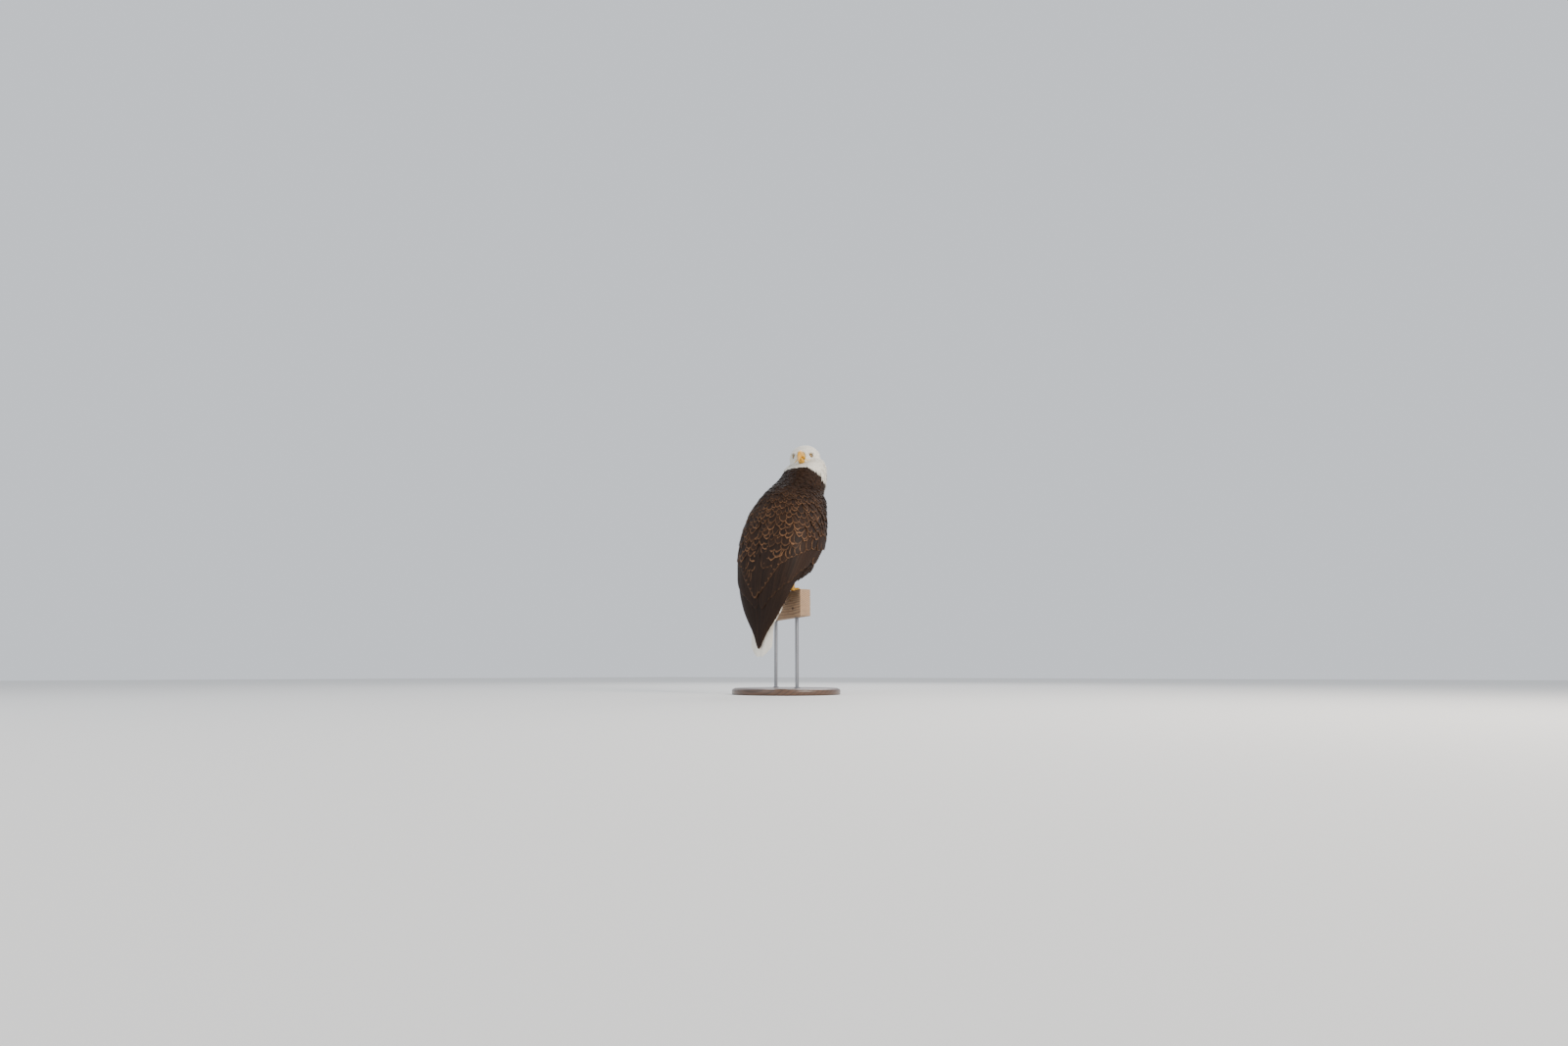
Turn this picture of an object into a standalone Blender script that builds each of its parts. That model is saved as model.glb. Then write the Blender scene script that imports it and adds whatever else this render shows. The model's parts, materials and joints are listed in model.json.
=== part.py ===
"""A bald eagle perched on a short length of timber rail, life size, on a plain display stand.

Metres, +Z up. The bird's breast faces -Y and its left side is +X. It looks back over its right
shoulder. The origin is the middle of the stand's underside. Heights of the bird are written from
the top of the rail and lifted by the empty "bird", which stands there.
"""

import math

import bmesh
import bpy
from mathutils import Matrix, Vector

GAP = 0.0004  # left between neighbouring solids

# Stand and perch
BASE_RADIUS = 0.185
BASE_THICKNESS = 0.022
ROD_RADIUS = 0.006
ROD_SPACING = 0.17
RAIL_LENGTH = 0.30
RAIL_WIDTH = 0.038
RAIL_HEIGHT = 0.089
RAIL_TURN = math.radians(-30)  # the bird stands a little askew on its rail
PERCH_TOP = 0.345

# Trunk, wings and tail, as rows of a lofted form: height above the rail, then the section's sizes
TRUNK_ROWS = (  # height, centre y, half width, depth in front, depth behind
    (-0.034, 0.114, 0.022, 0.010, 0.014),
    (-0.010, 0.108, 0.032, 0.018, 0.026),
    (0.020, 0.099, 0.046, 0.028, 0.046),
    (0.050, 0.087, 0.064, 0.042, 0.062),
    (0.085, 0.069, 0.089, 0.072, 0.086),
    (0.115, 0.046, 0.108, 0.102, 0.107),
    (0.160, 0.022, 0.118, 0.124, 0.127),
    (0.210, 0.003, 0.122, 0.131, 0.130),
    (0.260, -0.015, 0.117, 0.127, 0.129),
    (0.310, -0.037, 0.104, 0.114, 0.124),
    (0.350, -0.059, 0.090, 0.099, 0.109),
    (0.385, -0.077, 0.080, 0.083, 0.092),
    (0.415, -0.090, 0.078, 0.076, 0.080),
    (0.440, -0.094, 0.078, 0.073, 0.074),
    (0.460, -0.094, 0.077, 0.069, 0.069),
    (0.478, -0.091, 0.072, 0.063, 0.062),
    (0.492, -0.089, 0.061, 0.054, 0.050),
    (0.503, -0.092, 0.046, 0.041, 0.036),
)
NECK_BOTTOM = 0.410
BODY_LEAN = 0.30  # the body's sections drop this much for each metre forwards
NAPE_LEAN = -0.30  # the neck's top section rises this much instead, behind the turned head
LEAN_TURNS = (0.425, 0.486)  # between these heights the one becomes the other
NECK_BEND = 0.13  # above the breast, the body moves this much to its right for each metre up
BREAST_TOP = 0.30
WING_ROWS = (  # height, centre y, half width, depth, front edge and back edge in degrees, thickness
    (0.372, -0.056, 0.088, 0.097, -15, 35, 0.014),
    (0.348, -0.045, 0.102, 0.112, -38, 50, 0.021),
    (0.318, -0.031, 0.116, 0.123, -46, 60, 0.028),
    (0.285, -0.016, 0.127, 0.129, -48, 66, 0.032),
    (0.240, 0.000, 0.137, 0.132, -47, 72, 0.034),
    (0.190, 0.016, 0.145, 0.132, -42, 77, 0.034),
    (0.140, 0.034, 0.145, 0.122, -30, 82, 0.034),
    (0.090, 0.052, 0.138, 0.112, -6, 87.2, 0.032),
    (0.040, 0.072, 0.128, 0.095, 26, 89.4, 0.026),
    (-0.010, 0.088, 0.114, 0.076, 43, 89.8, 0.020),
    (-0.058, 0.102, 0.095, 0.058, 50, 89.8, 0.016),
    (-0.096, 0.113, 0.074, 0.045, 54, 89.8, 0.013),
    (-0.130, 0.122, 0.051, 0.036, 56, 89.7, 0.011),
    (-0.158, 0.130, 0.034, 0.028, 58, 89.6, 0.008),
    (-0.182, 0.136, 0.022, 0.022, 60, 89.4, 0.006),
    (-0.197, 0.140, 0.012, 0.019, 62, 89.0, 0.005),
)
WINGTIP_TOP = -0.056
TAIL_ROWS = (  # height, centre y, half width, half thickness
    (0.010, 0.108, 0.028, 0.010),
    (-0.052, 0.123, 0.036, 0.009),
    (-0.104, 0.131, 0.041, 0.007),
    (-0.150, 0.138, 0.043, 0.006),
    (-0.184, 0.144, 0.040, 0.005),
    (-0.208, 0.148, 0.031, 0.004),
    (-0.224, 0.151, 0.015, 0.003),
)
UNDERTAIL_ROWS = (
    (0.036, 0.080, 0.024, 0.016),
    (0.000, 0.082, 0.043, 0.029),
    (-0.040, 0.091, 0.046, 0.028),
    (-0.080, 0.107, 0.038, 0.020),
    (-0.112, 0.121, 0.022, 0.010),
)
TRUNK_POWER = 2.4  # 2 is an ellipse, and more is boxier
WING_POWER = 2.8
HEAD_POWER = 2.08

# Legs: along the rail, each foot stands this far from the middle
FOOT_OFFSET = 0.047
SHANK_RADIUS = 0.0088
SHANK_TOP = 0.046
SHANK_FOOT = 0.016
TOE_RADIUS = 0.0074
TOE_SPREAD = math.radians(24)
HALLUX_LENGTH = 0.046
TOE_LENGTHS = (0.054, 0.066, 0.056)  # inner, middle and outer toe
CLAW_LENGTH = 0.027
HALLUX_CLAW_LENGTH = 0.034
CLAW_RADIUS = 0.0042

# Head, built facing -Y about its own centre
HEAD_PLACE = (-0.024, -0.082, 0.502)
HEAD_TURN = math.radians(-158)
HEAD_PITCH = math.radians(5)
HEAD_ROWS = (  # y, centre height, half width, height above, height below
    (0.066, -0.002, 0.020, 0.018, 0.020),
    (0.057, 0.000, 0.038, 0.037, 0.040),
    (0.038, 0.004, 0.0520, 0.0490, 0.052),
    (0.012, 0.006, 0.0565, 0.0515, 0.056),
    (-0.009, 0.005, 0.0500, 0.0455, 0.050),
    (-0.026, 0.002, 0.0380, 0.0360, 0.041),
    (-0.040, -0.002, 0.0265, 0.0255, 0.029),
    (-0.048, -0.004, 0.0175, 0.0180, 0.019),
)
UPPER_BILL_ROWS = (  # y, height, slope in degrees, depth above, half width
    (-0.036, -0.0135, 0, 0.0265, 0.0150),
    (-0.052, -0.0135, 2, 0.0262, 0.0138),
    (-0.067, -0.0145, 12, 0.0240, 0.0118),
    (-0.080, -0.0185, 28, 0.0195, 0.0096),
    (-0.0895, -0.0250, 50, 0.0135, 0.0070),
    (-0.0940, -0.0335, 74, 0.0075, 0.0044),
    (-0.0948, -0.0430, 88, 0.0014, 0.0014),
)
LOWER_BILL_ROWS = (
    (-0.034, -0.0225, 0, 0.0090, 0.0128),
    (-0.050, -0.0225, 0, 0.0083, 0.0108),
    (-0.066, -0.0222, 0, 0.0070, 0.0084),
    (-0.078, -0.0215, -6, 0.0034, 0.0050),
)
EYE_RADIUS = 0.0112
EYE_PLACE = (0.0262, -0.0255, 0.0030)
SOCKET_RADIUS = 0.0121
BROW_SIZE = (0.0085, 0.0200, 0.0052)
BROW_PLACE = (0.0315, -0.0230, 0.0165)
BROW_TURN = (math.radians(12), math.radians(12), math.radians(22))

parts = bpy.data.collections.new("eagle_on_a_rail")
cutters = bpy.data.collections.new("cutters")


def clear_scene():
    for old in list(bpy.data.objects):
        bpy.data.objects.remove(old, do_unlink=True)
    for collection in (parts, cutters):
        bpy.context.scene.collection.children.link(collection)


def finish_named(name, colour, roughness, metallic=0.0):
    """A plain material of one colour."""
    material = bpy.data.materials.new(name)
    material.use_nodes = True
    shader = material.node_tree.nodes["Principled BSDF"]
    shader.inputs["Base Color"].default_value = (*colour, 1.0)
    shader.inputs["Roughness"].default_value = roughness
    shader.inputs["Metallic"].default_value = metallic
    return material


def spline_rows(rows, count):
    """Rows between the given ones, by a Catmull-Rom spline through every column, evenly spaced by key."""
    steps = len(rows) - 1
    made = []
    for i in range(count):
        place = i * steps / (count - 1)
        k = min(int(place), steps - 1)
        t = place - k
        a, b, c, d = (rows[min(max(k + j, 0), steps)] for j in (-1, 0, 1, 2))
        made.append(
            tuple(
                0.5 * (2 * q + (r - p) * t + (2 * p - 5 * q + 4 * r - s) * t**2
                       + (3 * q - p - 3 * r + s) * t**3)
                for p, q, r, s in zip(a, b, c, d)
            )
        )
    return made


def rows_between(rows, low, high, count):
    """The lofted rows resampled at even heights from low to high."""
    fine = sorted(spline_rows(rows, 12 * len(rows)))
    made = []
    for i in range(count):
        level = low + (high - low) * i / (count - 1)
        above = next((k for k, row in enumerate(fine) if row[0] >= level), len(fine) - 1)
        a, b = fine[max(above - 1, 0)], fine[above]
        share = 0 if b[0] == a[0] else (level - a[0]) / (b[0] - a[0])
        share = min(max(share, 0), 1)
        made.append((level, *(p + (q - p) * share for p, q in zip(a[1:], b[1:]))))
    return made


def power_point(angle, power):
    """A point of the unit superellipse at this angle."""
    c, s = math.cos(angle), math.sin(angle)
    return (
        math.copysign(abs(c) ** (2 / power), c),
        math.copysign(abs(s) ** (2 / power), s),
    )


def link(name, mesh, material, parent=None, collection=None):
    made = bpy.data.objects.new(name, mesh)
    (collection or parts).objects.link(made)
    if material:
        mesh.materials.append(material)
    made.parent = parent
    return made


def loft(name, rings, material, parent=None):
    """One closed solid through rings with equal numbers of points, closed by a fan at each end."""
    shape = bmesh.new()
    loops = [[shape.verts.new(point) for point in ring] for ring in rings]
    for first, second in zip(loops, loops[1:]):
        for i in range(len(first)):
            k = (i + 1) % len(first)
            shape.faces.new((first[i], first[k], second[k], second[i]))
    for end in (loops[0], loops[-1]):
        shape.faces.new(end)
    bmesh.ops.triangulate(shape, faces=shape.faces)
    bmesh.ops.recalc_face_normals(shape, faces=shape.faces)
    mesh = bpy.data.meshes.new(name)
    shape.to_mesh(mesh)
    shape.free()
    mesh.shade_smooth()
    return link(name, mesh, material, parent)


def solid_now(name, source, collection=None, grow=0.0):
    """A plain mesh object of what source looks like now, in world space, grown by a little."""
    graph = bpy.context.evaluated_depsgraph_get()
    graph.update()
    mesh = bpy.data.meshes.new_from_object(source.evaluated_get(graph))
    mesh.transform(source.matrix_world)
    shape = bmesh.new()
    shape.from_mesh(mesh)
    bmesh.ops.remove_doubles(shape, verts=shape.verts, dist=1e-5)
    bmesh.ops.recalc_face_normals(shape, faces=shape.faces)
    if grow:
        shape.normal_update()
        for vertex in shape.verts:
            vertex.co += vertex.normal * grow * vertex.calc_shell_factor()
    shape.to_mesh(mesh)
    shape.free()
    return link(name, mesh, None, collection=collection)


def hide(cutter):
    cutter.hide_render = True
    cutter.display_type = "WIRE"


def cut_by(target, cutter):
    cut = target.modifiers.new(cutter.name, "BOOLEAN")
    cut.operation = "DIFFERENCE"
    cut.object = cutter


def carve(target, *neighbours):
    """Takes each neighbour, grown by the gap, out of target."""
    for neighbour in neighbours:
        bpy.context.view_layer.update()
        cutter = solid_now(f"cut_{target.name}_{neighbour.name}", neighbour, cutters, GAP)
        hide(cutter)
        cut_by(target, cutter)


def join(target, *others):
    """Adds the others to target, and keeps them only as cutters."""
    for other in others:
        parts.objects.unlink(other)
        cutters.objects.link(other)
        hide(other)
        union = target.modifiers.new(f"with_{other.name}", "BOOLEAN")
        union.operation = "UNION"
        union.object = other


def tapered_tube(name, path, radii, material, parent=None, roundness=2):
    """A round solid along a path, with a radius for each point."""
    curve = bpy.data.curves.new(name, "CURVE")
    curve.dimensions = "3D"
    curve.bevel_depth = 1.0
    curve.bevel_resolution = roundness
    curve.use_fill_caps = True
    spline = curve.splines.new("POLY")
    spline.points.add(len(path) - 1)
    for point, place, radius in zip(spline.points, path, radii):
        point.co = (*place, 1.0)
        point.radius = radius
    rough = bpy.data.objects.new(name + "_line", curve)
    cutters.objects.link(rough)
    rough.parent = parent
    bpy.context.view_layer.update()
    made = solid_now(name, rough)
    made.data.materials.append(material)
    made.data.shade_smooth()
    bpy.data.objects.remove(rough)
    return made


def bend_at(level):
    """The sideways place of the body's middle at this height."""
    return -NECK_BEND * max(level - BREAST_TOP, 0)


def ring_at(level, centre_y, half_width, front, back, power, sides=20):
    """A section of the body, with its own depths in front and behind."""
    share = (level - LEAN_TURNS[0]) / (LEAN_TURNS[1] - LEAN_TURNS[0])
    lean = BODY_LEAN + (NAPE_LEAN - BODY_LEAN) * min(max(share, 0), 1)
    ring = []
    for i in range(sides):
        across, along = power_point(2 * math.pi * i / sides, power)
        along *= back if along > 0 else front
        x = half_width * across + bend_at(level)
        ring.append((x, centre_y + along, level + lean * along))
    return ring


def make_trunk(bird, brown):
    rows = rows_between(TRUNK_ROWS, TRUNK_ROWS[0][0], NECK_BOTTOM - GAP, 17)
    return loft("trunk", [ring_at(*row, TRUNK_POWER) for row in rows], brown, bird)


def make_neck(bird, white):
    rows = rows_between(TRUNK_ROWS, NECK_BOTTOM, TRUNK_ROWS[-1][0], 6)
    return loft("neck", [ring_at(*row, TRUNK_POWER) for row in rows], white, bird)


def wing_ring(side, level, centre_y, half_width, depth, front, back, thickness, steps=9):
    """A crescent: its outer arc runs from the wing's front edge to its edge beside the spine."""
    outer, inner = [], []
    for i in range(steps):
        share = i / (steps - 1)
        angle = math.radians(front + (back - front) * share)
        across, along = power_point(angle, WING_POWER)
        point = Vector((half_width * across, depth * along, 0))
        wall = thickness * (0.4 + 0.6 * math.sin(math.pi * share))
        for edge, place in ((outer, point), (inner, point - point.normalized() * wall)):
            edge.append((side * place.x + bend_at(level), centre_y + place.y, level))
    return outer + inner[::-1]


def make_wing(name, side, low, high, count, bird, brown):
    rows = rows_between(WING_ROWS, low, high, count)
    return loft(name, [wing_ring(side, *row) for row in rows], brown, bird)


def flat_ring(level, centre_y, half_width, half_thickness, sides=16):
    ring = []
    for i in range(sides):
        across, along = power_point(2 * math.pi * i / sides, 2.0)
        bow = 0.12 * half_width * across**2
        ring.append((half_width * across, centre_y + half_thickness * along - bow, level))
    return ring


def make_flat_piece(name, rows, count, bird, white):
    return loft(name, [flat_ring(*row) for row in spline_rows(rows, count)], white, bird)


def head_ring(y, centre, half_width, above, below, sides=20):
    ring = []
    for i in range(sides):
        across, up = power_point(2 * math.pi * i / sides, HEAD_POWER)
        ring.append((half_width * across, y, centre + up * (above if up > 0 else below)))
    return ring


def bill_ring(y, height, slope, depth, half_width, hang=0.0, sides=14):
    """A section of the bill, square to its slope, flat below and arched above."""
    turn = math.radians(slope)
    up = Vector((0, -math.sin(turn), math.cos(turn)))
    ring = []
    for i in range(sides):
        angle = 2 * math.pi * i / sides
        across, rise = math.cos(angle), math.sin(angle)
        lift = depth * rise if rise > 0 else hang * rise
        spread = half_width * across * (1 - 0.25 * max(rise, 0))
        ring.append(Vector((spread, y, height)) + up * lift)
    return ring


def ball(name, radius, place, material, parent, segments=14, rings=8):
    mesh = bpy.data.meshes.new(name)
    shape = bmesh.new()
    bmesh.ops.create_uvsphere(shape, u_segments=segments, v_segments=rings, radius=radius)
    shape.to_mesh(mesh)
    shape.free()
    mesh.shade_smooth()
    made = link(name, mesh, material, parent)
    made.location = place
    return made


def make_head(bird, neck, white, horn, eye_finish):
    """The skull with its brows, the two halves of the bill, and the eyes in their sockets."""
    centre = bpy.data.objects.new("head_centre", None)
    parts.objects.link(centre)
    centre.parent = bird
    centre.location = HEAD_PLACE
    centre.rotation_euler = (-HEAD_PITCH, 0, HEAD_TURN)
    head = loft("head", [head_ring(*row) for row in spline_rows(HEAD_ROWS, 12)], white, centre)
    bpy.context.view_layer.update()
    skull = solid_now("cut_neck_head", head, cutters, GAP)
    hide(skull)
    cut_by(neck, skull)
    upper_rings = [bill_ring(*row, hang=0.0015) for row in spline_rows(UPPER_BILL_ROWS, 13)]
    upper = loft("bill_upper", upper_rings, horn, centre)
    lower_rings = [
        bill_ring(y, height, slope, 0.0070, width, hang=drop)
        for y, height, slope, drop, width in spline_rows(LOWER_BILL_ROWS, 6)
    ]
    lower = loft("bill_lower", lower_rings, horn, centre)
    brows, sockets, eyes = [], [], []
    for side, label in ((1, "left"), (-1, "right")):
        brow = ball(f"brow_{label}", 1.0, (0, 0, 0), white, centre, 10, 6)
        brow.data.transform(Matrix.Diagonal((*BROW_SIZE, 1.0)))
        brow.location = (side * BROW_PLACE[0], *BROW_PLACE[1:])
        tip, roll, toe_in = BROW_TURN
        brow.rotation_euler = (tip, side * roll, -side * toe_in)
        brows.append(brow)
        place = (side * EYE_PLACE[0], *EYE_PLACE[1:])
        socket = ball(f"socket_{label}", SOCKET_RADIUS, place, None, centre)
        sockets.append(socket)
        eyes.append(ball(f"eye_{label}", EYE_RADIUS, place, eye_finish, centre))
    join(head, *brows)
    for socket in sockets:
        parts.objects.unlink(socket)
        cutters.objects.link(socket)
        hide(socket)
        cut_by(head, socket)
    carve(lower, upper)
    carve(head, upper, lower)
    carve(neck, lower)


def along_rail(distance, across, height):
    """A point in the rail's own directions, as bird coordinates: across is positive behind."""
    c, s = math.cos(RAIL_TURN), math.sin(RAIL_TURN)
    return Vector((distance * c - across * s, distance * s + across * c, height))


def grip_path(length, reach):
    """A toe's centreline from the ankle, over the rail's edge and down its face, as (out, height)."""
    edge = RAIL_WIDTH / 2
    clear = TOE_RADIUS + GAP
    corner = [
        (edge + clear * math.sin(a), clear * math.cos(a))
        for a in (math.radians(step) for step in (0, 30, 60, 90))
    ]
    run = [(0.0, SHANK_FOOT), (edge * 0.5, clear + 0.0015), *corner]
    used = edge + clear * math.pi / 2
    run.append((edge + clear + reach, -max(length - used, 0.004)))
    return run


def make_foot(label, offset, bird, skin_finish, horn):
    """Three toes over the rail's front edge, one over its back edge, and a claw on each."""
    toes = []
    specs = [
        (f"toe_{label}_{i + 1}", length, -1, (i - 1) * TOE_SPREAD, CLAW_LENGTH)
        for i, length in enumerate(TOE_LENGTHS)
    ]
    specs.append((f"toe_{label}_hind", HALLUX_LENGTH, 1, 0.0, HALLUX_CLAW_LENGTH))
    claws = []
    for name, length, way, spread, claw_length in specs:
        run = grip_path(length, 0.0012)
        points = [
            along_rail(offset + math.tan(spread) * out, way * out, height) for out, height in run
        ]
        radii = [TOE_RADIUS * (1.0 - 0.16 * i / (len(run) - 1)) for i in range(len(run))]
        toes.append(tapered_tube(name, points, radii, skin_finish, bird))
        out, height = run[-1]
        sweep = [math.radians(step) for step in (-35, -11, 13, 37, 60)]
        arc = claw_length / math.radians(95)
        claw_run = [
            (out + arc * (math.cos(a) - math.cos(sweep[0])), height - 0.0005
             - arc * (math.sin(a) - math.sin(sweep[0])))
            for a in sweep
        ]
        claw_points = [
            along_rail(offset + math.tan(spread) * (out + 0.25 * (out - o)), way * o, h)
            for o, h in claw_run
        ]
        claw_radii = [CLAW_RADIUS * share for share in (1.0, 0.88, 0.68, 0.42, 0.16)]
        claws.append(
            tapered_tube(name.replace("toe", "claw"), claw_points, claw_radii, horn, bird, 1)
        )
    pad = ball(f"pad_{label}", 1.0, along_rail(offset, 0, 0.0), skin_finish, bird, 10, 6)
    pad.data.transform(Matrix.Diagonal((0.0125, 0.0125, 0.0082, 1.0)))
    pad.location.z = 0.0125
    foot = toes[1]
    foot.name = f"foot_{label}"
    join(foot, toes[0], toes[2], toes[3], pad)
    for claw in claws:
        carve(claw, foot)
    return foot


def make_leg(label, side, bird, skin_finish, horn, brown, trunk):
    offset = side * FOOT_OFFSET
    foot = make_foot(label, offset, bird, skin_finish, horn)
    bottom = along_rail(offset, 0.0, SHANK_FOOT - 0.004)
    top = along_rail(offset, -0.004, SHANK_TOP)
    middle = bottom.lerp(top, 0.5) + Vector((0, 0.001, 0))
    shank = tapered_tube(
        f"shank_{label}", (bottom, middle, top),
        (SHANK_RADIUS, SHANK_RADIUS * 0.92, SHANK_RADIUS * 1.12), skin_finish, bird,
    )
    carve(foot, shank)
    rows = (  # height, x, y, half width, half depth
        (SHANK_TOP - 0.006, top.x, top.y, 0.0165, 0.019),
        (0.058, top.x + side * 0.003, top.y - 0.002, 0.036, 0.041),
        (0.082, side * 0.052, top.y * 0.7 - 0.008, 0.048, 0.060),
        (0.115, side * 0.054, top.y * 0.4 - 0.014, 0.046, 0.062),
        (0.150, side * 0.050, top.y * 0.2 - 0.010, 0.034, 0.046),
    )
    rings = []
    for height, x, y, half_width, half_depth in spline_rows(rows, 8):
        ring = []
        for i in range(14):
            across, along = power_point(2 * math.pi * i / 14, 2.2)
            ring.append((x + half_width * across, y + half_depth * along, height))
        rings.append(ring)
    thigh = loft(f"thigh_{label}", rings, brown, bird)
    carve(thigh, trunk, shank)
    return thigh


def cylinder(name, radius, depth, place, material, parent=None, segments=32):
    mesh = bpy.data.meshes.new(name)
    shape = bmesh.new()
    bmesh.ops.create_cone(
        shape, cap_ends=True, segments=segments, radius1=radius, radius2=radius, depth=depth
    )
    shape.to_mesh(mesh)
    shape.free()
    made = link(name, mesh, material, parent)
    made.location = place
    return made


def bevel(target, width, segments=2):
    rounding = target.modifiers.new("rounded_edges", "BEVEL")
    rounding.width = width
    rounding.segments = segments
    rounding.limit_method = "ANGLE"
    rounding.angle_limit = math.radians(50)


def make_stand(timber, dark_wood, steel):
    """The rail, the two rods that hold it, and the round base."""
    base = cylinder(
        "stand_base", BASE_RADIUS, BASE_THICKNESS, (0, 0, BASE_THICKNESS / 2), dark_wood,
        segments=40,
    )
    bevel(base, 0.004)
    low = BASE_THICKNESS + GAP
    high = PERCH_TOP - RAIL_HEIGHT - GAP
    for label, way in (("left", 1), ("right", -1)):
        place = along_rail(way * ROD_SPACING / 2, 0, (low + high) / 2)
        cylinder(f"stand_rod_{label}", ROD_RADIUS, high - low, place, steel, segments=20)
    mesh = bpy.data.meshes.new("perch_rail")
    shape = bmesh.new()
    bmesh.ops.create_cube(shape, size=1.0)
    shape.to_mesh(mesh)
    shape.free()
    mesh.transform(Matrix.Diagonal((RAIL_LENGTH, RAIL_WIDTH, RAIL_HEIGHT, 1.0)))
    rail = link("perch_rail", mesh, timber)
    rail.location = (0, 0, PERCH_TOP - RAIL_HEIGHT / 2)
    rail.rotation_euler = (0, 0, RAIL_TURN)
    bevel(rail, 0.0022)


def main():
    clear_scene()
    brown = finish_named("dark_plumage", (0.045, 0.026, 0.018), 0.7)
    white = finish_named("white_plumage", (0.84, 0.82, 0.76), 0.75)
    horn = finish_named("yellow_bill", (0.86, 0.52, 0.06), 0.35)
    black_horn = finish_named("claws", (0.02, 0.018, 0.018), 0.3)
    yellow_skin = finish_named("yellow_skin", (0.80, 0.50, 0.07), 0.5)
    eye_finish = finish_named("eyes", (0.75, 0.55, 0.20), 0.1)
    timber = finish_named("weathered_timber", (0.42, 0.30, 0.19), 0.85)
    dark_wood = finish_named("stand_wood", (0.10, 0.055, 0.03), 0.45)
    steel = finish_named("stand_steel", (0.25, 0.25, 0.26), 0.35, 1.0)

    bird = bpy.data.objects.new("bird", None)
    parts.objects.link(bird)
    bird.location = (0, 0, PERCH_TOP)
    bpy.context.view_layer.update()

    trunk = make_trunk(bird, brown)
    neck = make_neck(bird, white)
    make_head(bird, neck, white, horn, eye_finish)
    thighs = [
        make_leg(label, side, bird, yellow_skin, black_horn, brown, trunk)
        for label, side in (("left", 1), ("right", -1))
    ]
    tail = make_flat_piece("tail", TAIL_ROWS, 12, bird, white)
    carve(tail, trunk)
    undertail = make_flat_piece("undertail", UNDERTAIL_ROWS, 7, bird, white)
    carve(undertail, trunk, tail)
    tip_end = WING_ROWS[-1][0]
    for label, side, thigh in (("left", 1, thighs[0]), ("right", -1, thighs[1])):
        wing = make_wing(
            f"wing_{label}", side, WINGTIP_TOP + GAP, WING_ROWS[0][0], 13, bird, brown
        )
        wingtip = make_wing(f"wingtip_{label}", side, tip_end, WINGTIP_TOP, 7, bird, brown)
        carve(wing, trunk, thigh, tail, undertail)
        carve(wingtip, tail, undertail)
    make_stand(timber, dark_wood, steel)


main()
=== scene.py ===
"""Dresses the bald eagle on its rail: skin, plumage, bill, eyes, feet, timber and stand."""

import json
import math
from math import cos, pi, radians, sin, tau

import bmesh
import bpy
import numpy as np
from bpy.props import FloatProperty, FloatVectorProperty, IntProperty, PointerProperty
from mathutils import Euler, Matrix, Vector, noise
from mathutils.bvhtree import BVHTree

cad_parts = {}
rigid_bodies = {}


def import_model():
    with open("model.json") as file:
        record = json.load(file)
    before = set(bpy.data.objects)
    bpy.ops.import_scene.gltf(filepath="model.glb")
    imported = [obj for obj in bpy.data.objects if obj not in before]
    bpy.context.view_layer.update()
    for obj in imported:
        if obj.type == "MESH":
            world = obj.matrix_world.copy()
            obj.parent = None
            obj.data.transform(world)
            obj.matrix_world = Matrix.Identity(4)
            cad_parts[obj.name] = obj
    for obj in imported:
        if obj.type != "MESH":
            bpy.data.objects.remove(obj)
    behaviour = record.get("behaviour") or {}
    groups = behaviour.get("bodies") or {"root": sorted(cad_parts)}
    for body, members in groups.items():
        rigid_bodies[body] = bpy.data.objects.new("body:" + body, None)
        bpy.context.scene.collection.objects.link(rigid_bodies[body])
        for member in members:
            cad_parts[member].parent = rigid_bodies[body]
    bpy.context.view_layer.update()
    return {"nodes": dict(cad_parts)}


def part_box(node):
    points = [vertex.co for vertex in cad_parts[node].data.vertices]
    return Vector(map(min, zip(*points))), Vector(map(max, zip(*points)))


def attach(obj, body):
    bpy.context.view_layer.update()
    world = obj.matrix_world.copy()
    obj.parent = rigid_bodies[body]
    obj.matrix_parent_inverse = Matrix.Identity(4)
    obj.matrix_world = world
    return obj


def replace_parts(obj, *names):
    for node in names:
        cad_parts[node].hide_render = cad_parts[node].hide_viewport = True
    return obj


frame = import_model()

bl_info = {
    "name": "Perched eagle",
    "version": (1, 0, 0),
    "blender": (4, 5, 0),
    "location": "3D View > Sidebar > Eagle",
    "description": "Makes the plumage, bill, eyes, feet, perch and stand of a perched bald eagle",
    "category": "Object",
}

PERCH_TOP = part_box("perch_rail")[1].z
RAIL_TURN = radians(-30)
RAIL_SIZE = (0.30, 0.038, 0.089)
SIDES = (("left", 1), ("right", -1))
UP, DOWN = Vector((0, 0, 1)), Vector((0, 0, -1))
FLESH = (
    "trunk", "neck", "head", "thigh_left", "thigh_right", "undertail", "wing_left", "wing_right",
)
HEAD_FRAME = (
    Matrix.Translation((-0.024, -0.082, PERCH_TOP + 0.502))
    @ Euler((radians(-5), 0, radians(-158))).to_matrix().to_4x4()
)
HEAD_TURN, TO_HEAD = HEAD_FRAME.to_3x3(), HEAD_FRAME.inverted()
EYE_PLACE = (0.0262, -0.0255, 0.0030)  # in the head's frame, with the face towards -Y
GAZE = Vector((0.83, -0.555, 0.02)).normalized()

# The body's axis: how far behind the rail's middle it starts, how far it leans forward and, above
# the height where it bends, to the bird's right, for each unit of height
AXIS_START, AXIS_LEAN = 0.086, 0.36
BEND_START, BEND_LEAN = 0.30, 0.13

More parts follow.
